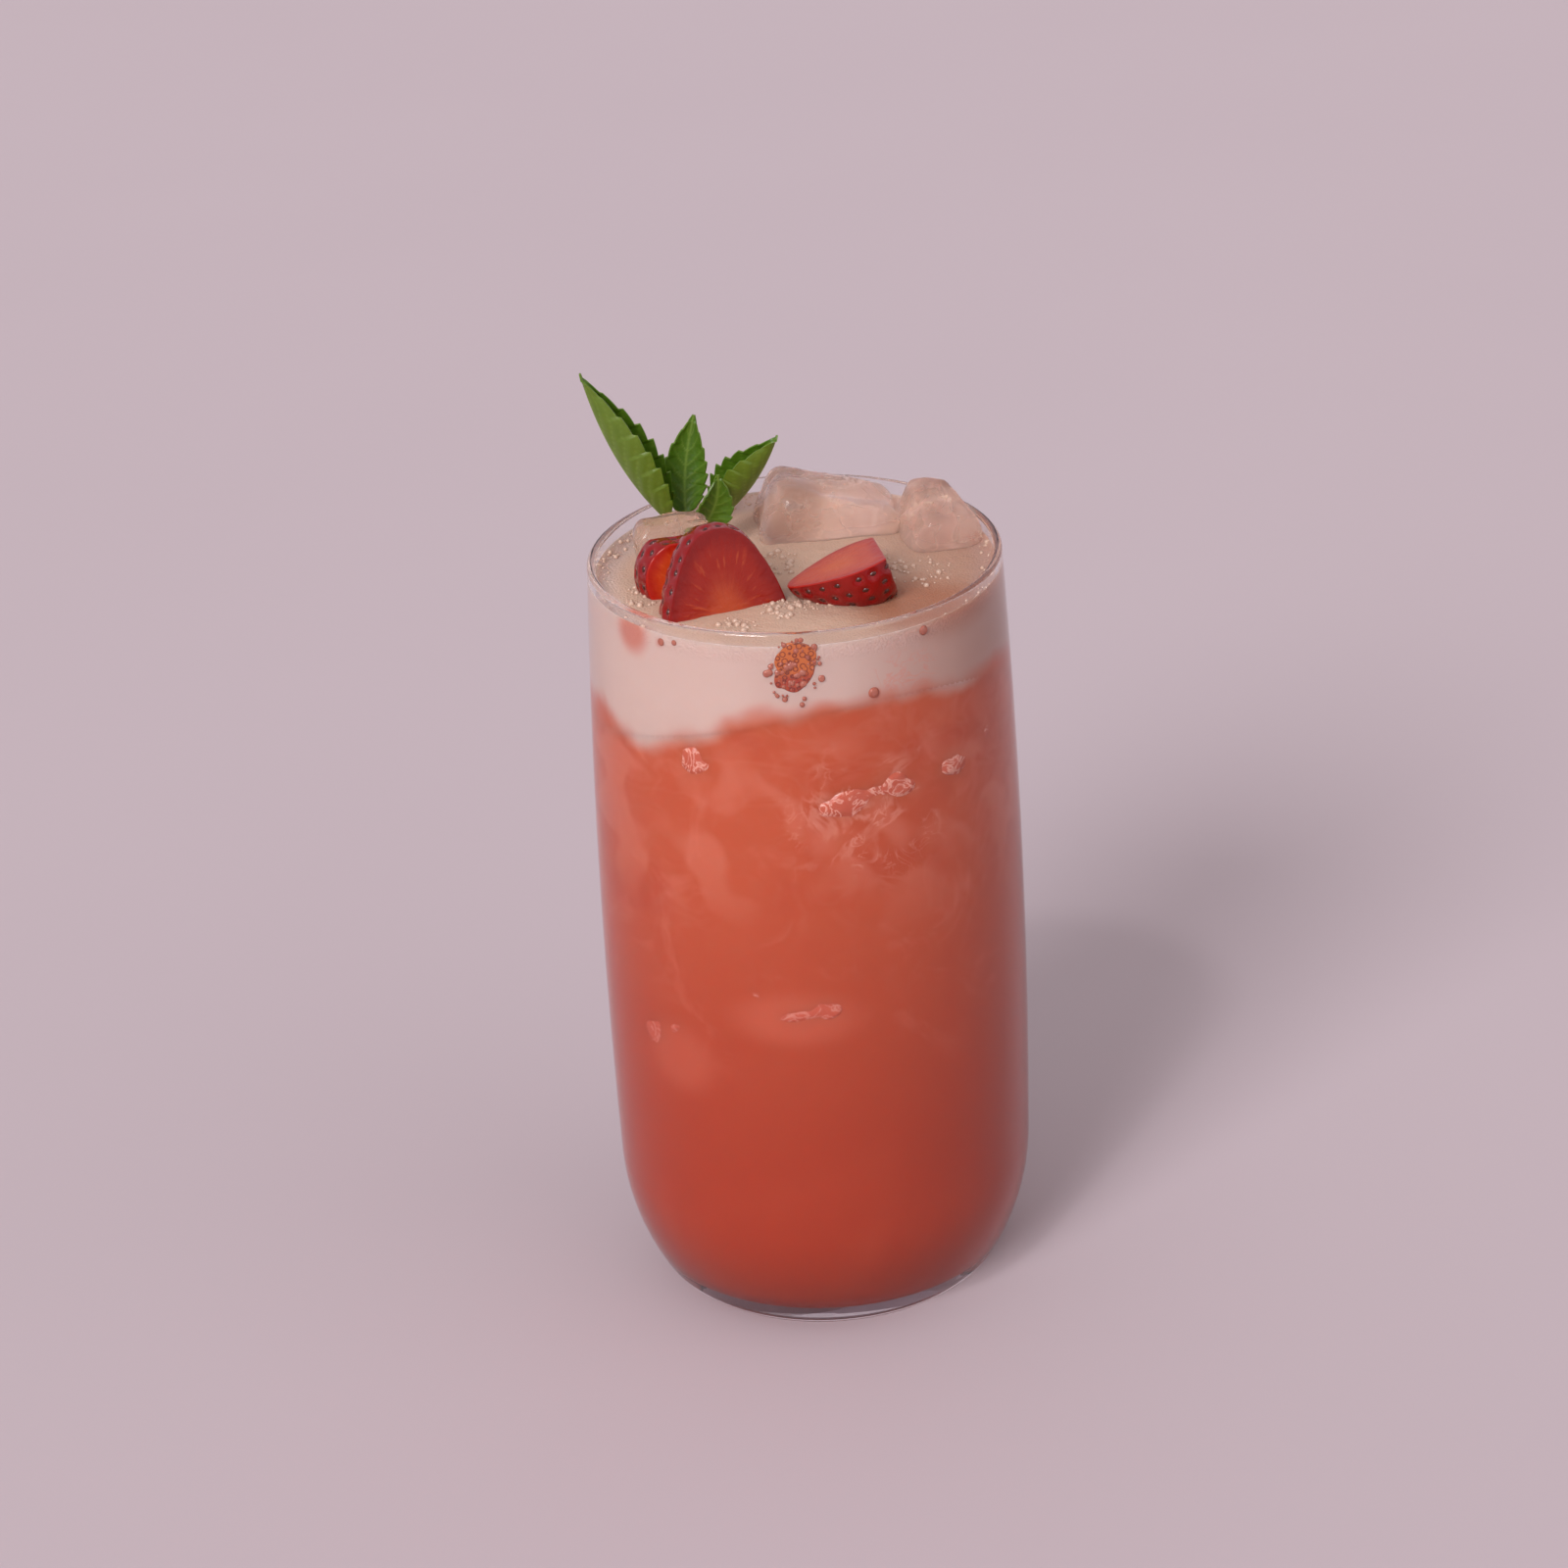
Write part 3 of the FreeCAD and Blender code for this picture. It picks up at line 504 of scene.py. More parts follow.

# %% [markdown]
# ## Drink and foam bodies
# Both bodies are rings of points about the axis. The drink is closed by the wavy boundary. The foam
# starts there, climbs the wall, clings to it in a low ring and crosses to the middle. Its top dips
# under the ice, so that the clear blocks show their depth.

# %% Pieces that stand in the foam
ICE_BLOCKS = {
    "ice_large": dict(middle=(4.5, 23.0, 129.6), size=(24, 18, 26), turns=((6, "Z"), (16, "Y"))),
    "ice_right": dict(middle=(24.3, 15.5, 131.7), size=(13, 16, 22),
                      turns=((12, "Z"), (18, "Y"), (12, "X"))),
    "ice_left": dict(middle=(-20.7, 8.0, 132.7), size=(14, 8, 22), turns=((8, "Z"),)),
}


def turned(turns):
    """A rotation made of turns about the axes, the last one done first."""
    rotation = Matrix.Identity(3)
    for degrees, axis in turns:
        rotation = rotation @ Matrix.Rotation(math.radians(degrees), 3, axis)
    return np.array(rotation)


DIP, DIP_INSET, DIP_SLOPE = 5.0, 1.2, 0.22


def ice_dip(x, y):
    """How far the foam's top lies lower inside the outline of an ice block."""
    dip = np.zeros_like(x)
    for block in ICE_BLOCKS.values():
        rotation, half = turned(block["turns"]), np.array(block["size"]) / 2
        offset = np.stack((x - block["middle"][0], y - block["middle"][1],
                           np.full_like(x, FOAM_LEVEL - block["middle"][2])), -1) @ rotation
        share = np.abs(offset[..., :2]) / (half[:2] - DIP_INSET)
        dip = np.maximum(dip, np.clip((1 - share.max(axis=-1)) / DIP_SLOPE, 0, 1))
    return DIP * dip


print("pieces of ice on top:", len(ICE_BLOCKS))

# %% Pour the drink
DRINK_COLUMNS, FOAM_COLUMNS = 180, 300
OVERLAP, TAPER = 4.0, 0.06
EDGE_LEVEL = 118  # about where the boundary meets the wall


def full_circle(columns):
    """Points of a circle one millimetre in radius."""
    around = turns_round(columns)
    return np.stack((np.cos(around), np.sin(around)), -1)


def ring(circle, radius, heights):
    """One ring of points at a radius, at one height or at a height for each point."""
    flat = circle * np.broadcast_to(radius, (len(circle),))[:, None]
    return np.column_stack((flat, np.broadcast_to(heights, (len(circle),))))


circle = full_circle(DRINK_COLUMNS)
rows = [ring(circle, radius, height) for radius, height in heel_outline(INTO_WALL)]
top_edge = boundary(*(circle * float(inside_radius(EDGE_LEVEL))).T) + OVERLAP
for share in np.linspace(0, 1, 40):
    heights = HEEL_HEIGHT + share * (top_edge - HEEL_HEIGHT)
    past_boundary = np.clip((heights - top_edge) / (2 * OVERLAP) + 1, 0, 1)
    rows.append(ring(circle, inside_radius(heights, INTO_WALL) - TAPER * past_boundary, heights))
for share in np.linspace(0.95, 0.05, 14):
    edge = circle * share * inside_radius(top_edge, INTO_WALL)[:, None]
    rows.append(np.column_stack((edge, boundary(*edge.T) + OVERLAP * share)))
points, faces = skin(rows, (0, 0, FLOOR_LEVEL - INTO_WALL), (0, 0, boundary(0, 0)))
drink_body = make_piece("drink_body", points, faces, [drink_finish])
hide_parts("drink")
print("drink faces:", len(faces))

# %% Lay the foam
CLING_RADIUS, CLING_REACH = 3.2, 2.9
CONTACT = FOAM_LEVEL + CLING_RADIUS - math.sqrt(CLING_RADIUS ** 2 - CLING_REACH ** 2)
circle = full_circle(FOAM_COLUMNS)
mouth = float(inside_radius(FOAM_LEVEL))
under_edge = boundary(*(circle * float(inside_radius(EDGE_LEVEL))).T) - OVERLAP


def foam_top(x, y):
    """Height of the froth: flat with soft lumps, turned up at the wall, lower under the ice."""
    out = np.hypot(x, y)
    climb = np.clip(out - (mouth - CLING_REACH), 0, CLING_REACH)
    ring_rise = CLING_RADIUS - np.sqrt(CLING_RADIUS ** 2 - climb ** 2)
    lumps = np.array([0.30 * noise.noise((a / 7, b / 7, 0.4))
                      + 0.10 * noise.noise((a / 1.7, b / 1.7, 2.1)) for a, b in zip(x, y)])
    return FOAM_LEVEL + ring_rise + lumps * np.clip((mouth - out) / 2, 0, 1) - ice_dip(x, y)


rows = []
for share in np.linspace(0.05, 0.95, 10):
    edge = circle * share * inside_radius(under_edge, INTO_WALL)[:, None]
    rows.append(np.column_stack((edge, boundary(*edge.T) - OVERLAP * share)))
for share in np.linspace(0, 1, 24):
    heights = under_edge + share * (CONTACT - under_edge)
    before_boundary = np.clip(1 - (heights - under_edge) / (2 * OVERLAP), 0, 1)
    rows.append(ring(circle, inside_radius(heights, INTO_WALL) - TAPER * before_boundary, heights))
for out in np.concatenate((np.linspace(mouth, mouth - 3, 10), np.linspace(mouth - 3.4, 0.6, 84))):
    edge = circle * out
    rows.append(np.column_stack((edge, foam_top(*edge.T))))
middle_top = float(foam_top(np.zeros(1), np.zeros(1))[0])
points, faces = skin(rows, (0, 0, boundary(0, 0)), (0, 0, middle_top))
foam_body = make_piece("foam_body", points, faces, [foam_finish])
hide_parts("foam")
print("foam faces:", len(faces), "contact height", round(CONTACT, 2))

# %% [markdown]
# ## Ice
# An ice block from a tray starts as a box. In a drink its corners melt first, its faces turn a
# little hollow and wavy, and its middle stays cloudy. A box whose corners are pulled in by a power
# curve gives the melted form, and slow noise makes each block its own. The finish is part clear ice
# and part white cloud.

# %% Finish the ice
CLOUDY_SHARE, ICE_WHITE = 0.16, ink(206, 172, 158)

ice_finish, place = new_finish("ice")
wet = bump(cloud(place, 4.5, 3, 0.5, 0.8), 0.25, 0.5)
clear = surface(place, (0.97, 0.93, 0.9), 0.06, wet, IOR=ICE_IOR, Transmission_Weight=1.0)
clear = lets_light_in(place, clear, (0.9, 0.88, 0.86))
white = blend(cloud(place, 7, 3), ICE_WHITE, tuple(0.86 * share for share in ICE_WHITE))
haze = surface(place, white, 0.12, wet, IOR=ICE_IOR, Subsurface_Weight=0.6,
               Subsurface_Radius=(1.0, 0.8, 0.7), Subsurface_Scale=0.004)
cracks = veil(place, 6, 0.03, 2, 0.6)
share = (CLOUDY_SHARE + 0.5 * (cloud(place, 9, 2) - 0.5) + 0.1 * cracks
         + 0.25 * step(reading(place, "Z"), 138.5, 135.5))
close_finish(ice_finish, place.node("MixShader", {}, {0: share, 1: clear, 2: haze}))
print("cloudy share of the ice:", CLOUDY_SHARE)


# %% Melt the blocks
def melted_block(size, rotation, middle, power, wave, seed, cells=26):
    """Points and faces of a box with melted corners."""
    half = np.array(size) / 2
    index, points, faces = {}, [], []

    def corner(key):
        if key not in index:
            cube = np.array(key, float) / cells * 2 - 1
            cube = np.sin(cube * math.pi / 2) * 0.35 + cube * 0.65
            length = (np.abs(cube) ** power).sum() ** (1 / power)
            shape = cube / length * half
            outward = cube / np.linalg.norm(cube)
            bend = wave * noise.noise(Vector(shape / 6.5) + Vector((seed, 0, 0)))
            bend += 0.3 * wave * noise.noise(Vector(shape / 2.2) + Vector((0, seed, 0)))
            index[key] = len(points)
            points.append(rotation @ (shape + outward * bend) + np.array(middle))
        return index[key]

    for axis in range(3):
        for side in (0, cells):
            for first in range(cells):
                for second in range(cells):
                    square = []
                    for a, b in ((0, 0), (1, 0), (1, 1), (0, 1)):
                        key = [first + a, second + b]
                        key.insert(axis, side)
                        square.append(corner(tuple(key)))
                    if (side == 0) != (axis == 1):
                        square.reverse()
                    faces.append(square)
    return np.array(points), faces


def keep_in_glass(points, reach, top=GLASS_HEIGHT):
    """Points pulled in where they would pass the wall by more than reach."""
    out = np.hypot(points[:, 0], points[:, 1])
    limit = inside_radius(np.minimum(points[:, 2], top)) + reach
    share = np.minimum(1, limit / np.maximum(out, 1e-6))
    return np.column_stack((points[:, :2] * share[:, None], points[:, 2]))


for number, (node, block) in enumerate(ICE_BLOCKS.items()):
    points, faces = melted_block(block["size"], turned(block["turns"]), block["middle"],
                                 power=7, wave=0.9, seed=3.7 * number + 1)
    piece = make_piece(node + "_melted", keep_in_glass(points, -0.4), faces, [ice_finish])
    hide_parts(node)
    print(node, "faces:", len(faces))

# %% [markdown]
# ## Ice in the drink
# More ice floats below the foam. The drink is cloudy, so a sunk block shows only where it presses on
# the glass, as a smooth patch with a pale rim. Each block here leans on the wall and reaches just
# into it, so that its patch is real form and the rest stays hidden.

# %% Sink the ice
SUNK_ICE = {
    "sunk_ice_front": dict(azimuth=-72, height=106, size=(15, 19, 17), lean=(14, 20), press=0.72),
    "sunk_ice_left": dict(azimuth=-121, height=112, size=(14, 12, 16), lean=(-8, 12), press=0.75),
    "sunk_ice_low": dict(azimuth=-97, height=71, size=(15, 18, 12), lean=(6, -10), press=0.5),
    "sunk_ice_low_left": dict(azimuth=-134, height=58, size=(13, 13, 15), lean=(20, 14), press=0.5),
    "sunk_ice_right": dict(azimuth=-42, height=112, size=(14, 15, 14), lean=(-18, -15), press=0.75),
    "sunk_ice_back": dict(azimuth=95, height=104, size=(16, 18, 18), lean=(10, 12), press=0.6),
    "sunk_ice_back_low": dict(azimuth=40, height=78, size=(15, 16, 15), lean=(-12, 18), press=0.55),
}

sunk_finish, place = new_finish("ice_in_drink")
colour = blend(cloud(place, 6, 3, 0.5, 1), ink(186, 80, 56), ink(196, 102, 78))
colour = blend(0.6 * veil(place, 4, 0.06, 4, 2), colour, ink(238, 190, 174))
colour = blend(step(reading(place, "Z"), 90, 60) * 0.7, colour, ink(188, 78, 56))
close_finish(sunk_finish, surface(
    place, colour, 0.22, bump(cloud(place, 3.5, 3, 0.5, 1), 0.5, 0.6), Specular_IOR_Level=0.3,
    Subsurface_Weight=0.2, Subsurface_Radius=(1.0, 0.5, 0.35), Subsurface_Scale=0.003))

for number, (name, block) in enumerate(SUNK_ICE.items()):
    rotation = turned(((block["azimuth"], "Z"), (block["lean"][0], "X"), (block["lean"][1], "Y")))
    points, faces = melted_block(block["size"], rotation, (0, 0, block["height"]),
                                 power=5, wave=1.2, seed=2.9 * number + 8, cells=22)
    outward = polar(1, block["azimuth"], 0)
    gap = np.min(inside_radius(points[:, 2]) - points @ outward)
    points += outward * (gap + block["press"])
    make_piece(name, keep_in_glass(points, block["press"]), faces, [sunk_finish])
print("sunk blocks:", len(SUNK_ICE))

# %% [markdown]
# ## Strawberry pieces
# A berry is a turned form: broad shoulder, long flank, small tip. A knife then leaves flat wet
# faces. The skin shines and carries seeds, each in its own dimple, and the flesh swells between
# them. The flesh is red under the skin and paler at the core, with fibres that run from the core
# out to the seeds. Each piece is rings of points: one cut face from its middle out, the band of
# skin, and the other face back in.

# %% Shape of a berry
SHOULDER, FLANK_SHARE = 8.0, 1.35


def berry_outline(radius, length, tip):
    """Distance from the axis and height above the stem, along the skin from stem to tip."""
    shoulder_centre, tip_centre = np.array((radius - SHOULDER, SHOULDER)), np.array((0, length - tip))
    flank = FLANK_SHARE * length
    apart = tip_centre - shoulder_centre
    span = math.hypot(*apart)
    along = (span ** 2 + (flank - SHOULDER) ** 2 - (flank - tip) ** 2) / (2 * span)
    across = math.sqrt((flank - SHOULDER) ** 2 - along ** 2)
    step_on = apart / span
    centre = shoulder_centre + along * step_on + across * np.array((-step_on[1], step_on[0]))
    first = math.atan2(*(shoulder_centre - centre)[::-1])
    second = math.atan2(*(tip_centre - centre)[::-1])
    outline = []
    for middle, size, begin, end in (
            (shoulder_centre, SHOULDER, -math.pi / 2, first), (centre, flank, first, second),
            (tip_centre, tip, second, math.pi / 2)):
        for angle in np.linspace(begin, end, 40):
            outline.append(middle + size * np.array((math.cos(angle), math.sin(angle))))
    return np.array(outline)


def slice_ring(outline, stem_cut, offset, columns):
    """The outline of a cut through the berry at a distance from its axis, evenly spaced."""
    heights = np.linspace(stem_cut, outline[-1, 1], 400)
    radius = np.interp(heights, outline[:, 1], outline[:, 0])
    inside = radius > abs(offset)
    heights, radius = heights[inside], radius[inside]
    width = np.sqrt(radius ** 2 - offset ** 2)
    side = np.column_stack((width, heights))
    loop = np.vstack(((0, heights[0]), side, (side * (-1, 1))[::-1], (0, heights[0])))
    walked = np.concatenate(([0], np.cumsum(np.hypot(*np.diff(loop, axis=0).T))))
    spaced = np.linspace(0, walked[-1], columns, endpoint=False)
    return np.column_stack([np.interp(spaced, walked, side) for side in loop.T])


BERRY_COLUMNS = 170


def cut_berry(near, thickness, stem_cut, radius, length, tip, half=False):
    """Rows of points in the berry's own place, each row's depth under the skin, and the core."""
    outline = berry_outline(radius, length, tip)
    core = np.array((0.0, 0.45 * length + 0.5 * stem_cut))
    far = near - thickness
    rows, depths = [], []

    def lay(offset, shares):
        rim = slice_ring(outline, stem_cut, offset, BERRY_COLUMNS)
        for share in shares:
            flat = core + (rim - core) * share
            rows.append(np.column_stack((flat[:, 0], np.full(len(flat), offset), flat[:, 1])))
            depths.append(1 - share)

    inward = np.concatenate((np.linspace(0.04, 0.9, 20), (0.94, 0.97, 0.985)))
    lay(near, inward)
    if half:
        offsets = near - thickness * np.sin(np.linspace(0.02, 1.53, 36))
    else:
        offsets = np.linspace(near - 0.15, far + 0.15, max(10, int(thickness / 0.33)))
    for offset in offsets:
        lay(offset, (1,))
    if not half:
        lay(far, inward[::-1])
    return np.array(rows), np.array(depths), core


print("columns round a berry:", BERRY_COLUMNS)


# %% Finish skin, seeds and flesh
def flesh_material(name, under_skin, flesh, core):
    """Cut strawberry, from the rim in to the core, with fibres."""
    finish, place = new_finish(name)
    depth = place.node("Attribute", {"attribute_name": "depth"}, output="Fac")
    turn = place.node("Attribute", {"attribute_name": "turn"}, output="Fac")
    spokes = place.node("CombineXYZ", {}, {
        "X": turn * 15, "Y": depth * 1.5, "Z": cloud(place, 9) * 1.5})
    fibre = spokes.node("TexNoise", {}, {"Vector": spokes, "Scale": 2.0, "Detail": 3, "Roughness": 0.6})
    shade = depth + 0.22 * (cloud(place, 5, 3) - 0.5) + 0.18 * (fibre - 0.5)
    colour = blend(step(shade, 0.02, 0.3), under_skin, flesh)
    colour = blend(step(shade, 0.42, 0.9), colour, core)
    colour = blend(0.7 * step(fibre, 0.56, 0.7) * step(depth, 0.08, 0.3), colour, core)
    return close_finish(finish, surface(
        place, colour, 0.28, bump(cloud(place, 1.6, 3) + fibre * 0.6, 0.5, 0.3),
        Specular_IOR_Level=0.3, Subsurface_Weight=0.2, Subsurface_Radius=(1.0, 0.25, 0.12),
        Subsurface_Scale=0.002, Coat_Weight=0.1, Coat_Roughness=0.06))


skin_finish, place = new_finish("strawberry_skin")
colour = blend(cloud(place, 4, 3), ink(152, 8, 8), ink(118, 2, 4))
close_finish(skin_finish, surface(
    place, colour, 0.2, bump(cloud(place, 0.7, 2), 0.25, 0.2), Specular_IOR_Level=0.3,
    Coat_Weight=0.35, Coat_Roughness=0.04))

seed_finish, place = new_finish("strawberry_seeds")
colour = blend(cloud(place, 0.8, 2), ink(50, 8, 6), ink(86, 24, 10))
close_finish(seed_finish, surface(place, colour, 0.3, Coat_Weight=0.4))
print("skin and seed finishes made")


# %% Place the berries
def upright_to(tip, face):
    """A rotation that points the berry's tip one way and its near face another."""
    up = np.array(tip, float) / np.linalg.norm(tip)
    front = np.array(face, float) - np.dot(face, up) * up
    front /= np.linalg.norm(front)
    return np.column_stack((np.cross(front, up), front, up))


def stem_place(gap, azimuth, rise):
    """Where a berry's stem end is."""
    return polar(RIM_RADIUS - WALL - gap, azimuth, FOAM_LEVEL + rise)


BERRIES = {
    "strawberry_middle": dict(
        cut=dict(near=3.5, thickness=5, stem_cut=0, radius=11.8, length=28, tip=7.5),
        stem=(15.2, 232.5, -13.3), tip=(-0.09, 0.25, 0.96), face=(0.36, -0.93, 0.2),
        inks=(ink(128, 10, 4), ink(150, 28, 10), ink(180, 70, 36))),
    "strawberry_left": dict(
        cut=dict(near=6, thickness=5, stem_cut=1.5, radius=10.4, length=21, tip=4.2),
        stem=(16.6, 180, 10.2), tip=(0.05, -0.12, -1), face=(0.08, -0.95, 0.25),
        inks=(ink(176, 26, 10), ink(204, 66, 26), ink(214, 92, 46))),
    "strawberry_right": dict(
        cut=dict(near=0, thickness=9.6, stem_cut=3.6, radius=9.6, length=20.5, tip=4, half=True),
        stem=(15.2, 338, 8.3), tip=(-0.943, -0.149, -0.296), face=(-0.315, 0.121, 0.941),
        inks=(ink(172, 24, 8), ink(194, 62, 22), ink(208, 88, 40))),
}
print("berries:", ", ".join(BERRIES))

# %% Cut the berries
SEED_GAP, LANE_GAP, DIMPLE_DEPTH, DIMPLE_REACH = 3.1, 2.5, 0.5, 0.75


def seed_spots(rows, skin_rows, number):
    """Row and column of each seed: staggered over the skin, none at its edge."""
    generator = np.random.default_rng(40 + number)
    columns = rows.shape[1]
    spots, lane, walked = [], 0, 1.3
    path = np.linalg.norm(np.diff(rows[skin_rows, columns // 4], axis=0), axis=1)
    for row, gone in zip(skin_rows, [0, *path]):
        walked += gone
        if walked < LANE_GAP:
            continue
        walked, lane = 0, lane + 1
        ring_length = np.linalg.norm(np.diff(rows[row], axis=0), axis=1).sum()
        count = max(3, int(ring_length / SEED_GAP))
        for seed in range(count):
            column = (seed + 0.5 * (lane % 2) + generator.uniform(-0.15, 0.15)) / count * columns
            spots.append((row, int(column) % columns))
    return spots


def seed_shape(place, outward, along, size=1.0):
    """A small pointed drop, half sunk in its dimple."""
    sideways = np.cross(outward, along)
    rings = []
    for share in np.linspace(0.12, 0.92, 6):
        wide = math.sin(math.pi * share ** 0.8) * 0.42 * size
        rings.append([place + along * (share - 0.5) * 1.5 * size
                      + sideways * wide * math.cos(turn) + outward * wide * 0.6 * math.sin(turn)
                      for turn in turns_round(8)])
    return skin(rings, place - along * 0.75 * size, place + along * 0.75 * size)


for number, (node, berry) in enumerate(BERRIES.items()):
    rows, depths, core = cut_berry(**berry["cut"])
    rotation, stem = upright_to(berry["tip"], berry["face"]), stem_place(*berry["stem"])
    is_skin = depths == 0
    skin_rows = np.flatnonzero(is_skin)
    outward = np.cross(np.gradient(rows, axis=1), np.gradient(rows, axis=0))
    outward /= np.maximum(np.linalg.norm(outward, axis=2, keepdims=True), 1e-9)
    middle = np.array((0, np.mean(rows[skin_rows, :, 1]), core[1]))
    if np.sum((rows[skin_rows] - middle) * outward[skin_rows]) < 0:
        outward = -outward
    spots = seed_spots(rows, skin_rows, number)
    sunk = np.zeros(rows.shape[:2])
    for row, column in spots:
        away = np.linalg.norm(rows - rows[row, column], axis=2)
        sunk = np.maximum(sunk, np.exp(-(away / DIMPLE_REACH) ** 2))
    puffed = (0.12 - DIMPLE_DEPTH * sunk) * is_skin[:, None]
    shaped = rows + outward * puffed[..., None]
    seeds = []
    for row, column in spots:
        out = outward[row, column]
        along = np.array((0, 0, 1.0)) - out * out[2]
        if np.linalg.norm(along) < 0.2:
            along = np.array((1.0, 0, 0)) - out * out[0]
        along /= np.linalg.norm(along)
        seeds.append(seed_shape(shaped[row, column] + out * 0.12, out, along))

    ends = [np.array((core[0], rows[end, 0, 1], core[1])) for end in (0, -1)]
    if is_skin[-1]:
        ends[1] = shaped[-1].mean(axis=0)
    points, faces = skin(shaped, *ends)
    row_finish = [*is_skin[:-1], 0, is_skin[-1]]
    depth_of = [*np.repeat(depths, BERRY_COLUMNS), 1.0, 1.0 - is_skin[-1]]
    half_turns = np.abs(np.linspace(-1, 1, BERRY_COLUMNS, endpoint=False))
    flesh_finish = flesh_material(node + "_flesh", *berry["inks"])
    piece = make_piece(node + "_cut", np.array(points) @ rotation.T + stem, faces,
                       [flesh_finish, skin_finish],
                       np.repeat(row_finish, BERRY_COLUMNS).tolist(),
                       {"depth": depth_of, "turn": [*np.tile(half_turns, len(rows)), 0, 0]})
    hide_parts(node)
    points, faces = gather(seeds)
    points = np.array(points) @ rotation.T + stem
    make_piece(node + "_seeds", points, faces, [seed_finish])
    print(node, "seeds:", len(spots))

# %% [markdown]
# ## Mint
# A mint leaf folds along its midrib, has forward-pointing teeth, and puffs up between sunken side
# veins. Its upper side is darker than its under side. Each leaf is a sheet of points along and
# across, with a second sheet just under it, joined at the edge.

# %% Finish the mint
mint_finish, place = new_finish("mint")
vein = place.node("Attribute", {"attribute_name": "vein"}, output="Fac")
upper = place.node("Attribute", {"attribute_name": "upper"}, output="Fac")
colour = blend(upper, ink(104, 124, 26), ink(76, 108, 10))
colour = blend(0.45 * cloud(place, 2.2, 4, 0.6), colour, ink(56, 92, 16))
colour = blend(0.45 * vein, colour, ink(140, 164, 70))
close_finish(mint_finish, surface(
    place, colour, 0.42, bump(cloud(place, 0.7, 3), 0.4, 0.2), Subsurface_Weight=0.25,
    Subsurface_Radius=(0.5, 1.0, 0.2), Subsurface_Scale=0.001))
print("mint finish made")

# %% Shape a leaf
MINT_ROOT = np.array((-18.4, 18.0, 136.7))
TEETH, TOOTH_DEPTH, SIDE_VEINS, VEIN_SWEEP = 9, 0.15, 7, 2.8
PUFF, CURL, MIDRIB, LEAF_THICKNESS = 0.035, 0.4, 0.35, 0.32
LEAF_ROWS, LEAF_HALF = 108, 12
LEAVES = {
    "mint_leaf_tall": dict(base=(-0.8, -0.2, 0), control=(-12.5, -1.3, 11), tip=(-17, -2.5, 32),
                           fold=(1, -0.1, 0), half_fold=20, width=7.0, petiole=0.14),
    "mint_leaf_middle": dict(base=(0, 0.8, 0.3), control=(-1.4, 4.5, 8.5), tip=(2.1, 4, 20.8),
                             fold=(0, -1, 0.2), half_fold=66, width=4.1, petiole=0.18),
    "mint_leaf_right": dict(base=(0.8, 0, 0), control=(11.9, -0.5, 5.2), tip=(16.5, -1.5, 18.2),
                            fold=(-1, -0.1, 0.1), half_fold=20, width=7.0, petiole=0.2),
    "mint_leaf_low": dict(base=(0.3, -0.8, 0), control=(5.8, -4.2, 4.5), tip=(5.8, -4.5, 12.6),
                          fold=(0.2, -1, 0.1), half_fold=62, width=3.4, petiole=0.2),
}


def unit(vector):
    return vector / np.linalg.norm(vector)


def leaf_sheet(base, control, tip, fold, half_fold, width, petiole):
    """Rows of points across the leaf, their normals, and how close each lies to a vein."""
    base, control, tip, fold = (np.array(point, float) for point in (base, control, tip, fold))
    sheet, veins = [], []
    for along in np.linspace(0.02, 1, LEAF_ROWS):
        middle = base * (1 - along) ** 2 + control * 2 * (1 - along) * along + tip * along ** 2
        ahead = unit((control - base) * (1 - along) + (tip - control) * along)
        inward = unit(fold - ahead * np.dot(fold, ahead))
        sideways = np.cross(ahead, inward)
        blade = max(0, (along - petiole) / (1 - petiole))
        tooth = (along * TEETH) % 1
        toothed = 1 - TOOTH_DEPTH * (1 - tooth) * (1 - abs(2 * blade - 1) ** 6)
        outline = math.sin(math.pi * blade ** 0.8) ** (0.7 + 0.5 * blade ** 3)
        half_width = width * outline * toothed + 0.5 * (1 - along) + 0.25 * along
        turn = max(math.radians(half_fold), math.asin(min(1, 0.7 / half_width)))
        row, vein_row = [], []
        for side in np.linspace(-1, 1, 2 * LEAF_HALF + 1):
            out, sign = abs(side), math.copysign(1, side)
            flat = inward * math.cos(turn) + sideways * sign * math.sin(turn)
            normal = np.cross(ahead, flat) * sign
            phase = (blade * SIDE_VEINS - VEIN_SWEEP * out * width / 7) % 1
            on_vein = max(0, 1 - abs(phase - 0.5) * 9) * (1 - 0.6 * out) * min(1, 8 * blade)
            puff = PUFF * math.sin(math.pi * ((phase + 0.5) % 1))
            puff *= math.sin(math.pi * min(1, out * 1.1))
            lift = half_width * (CURL * out * (1 - out) + puff)
            row.append(middle + flat * out * half_width + normal * lift)
            vein_row.append(max(on_vein, 1 - out * half_width / MIDRIB))
        sheet.append(row)
        veins.append(vein_row)
    return np.array(sheet), np.array(veins)


print("leaves to grow:", ", ".join(LEAVES))

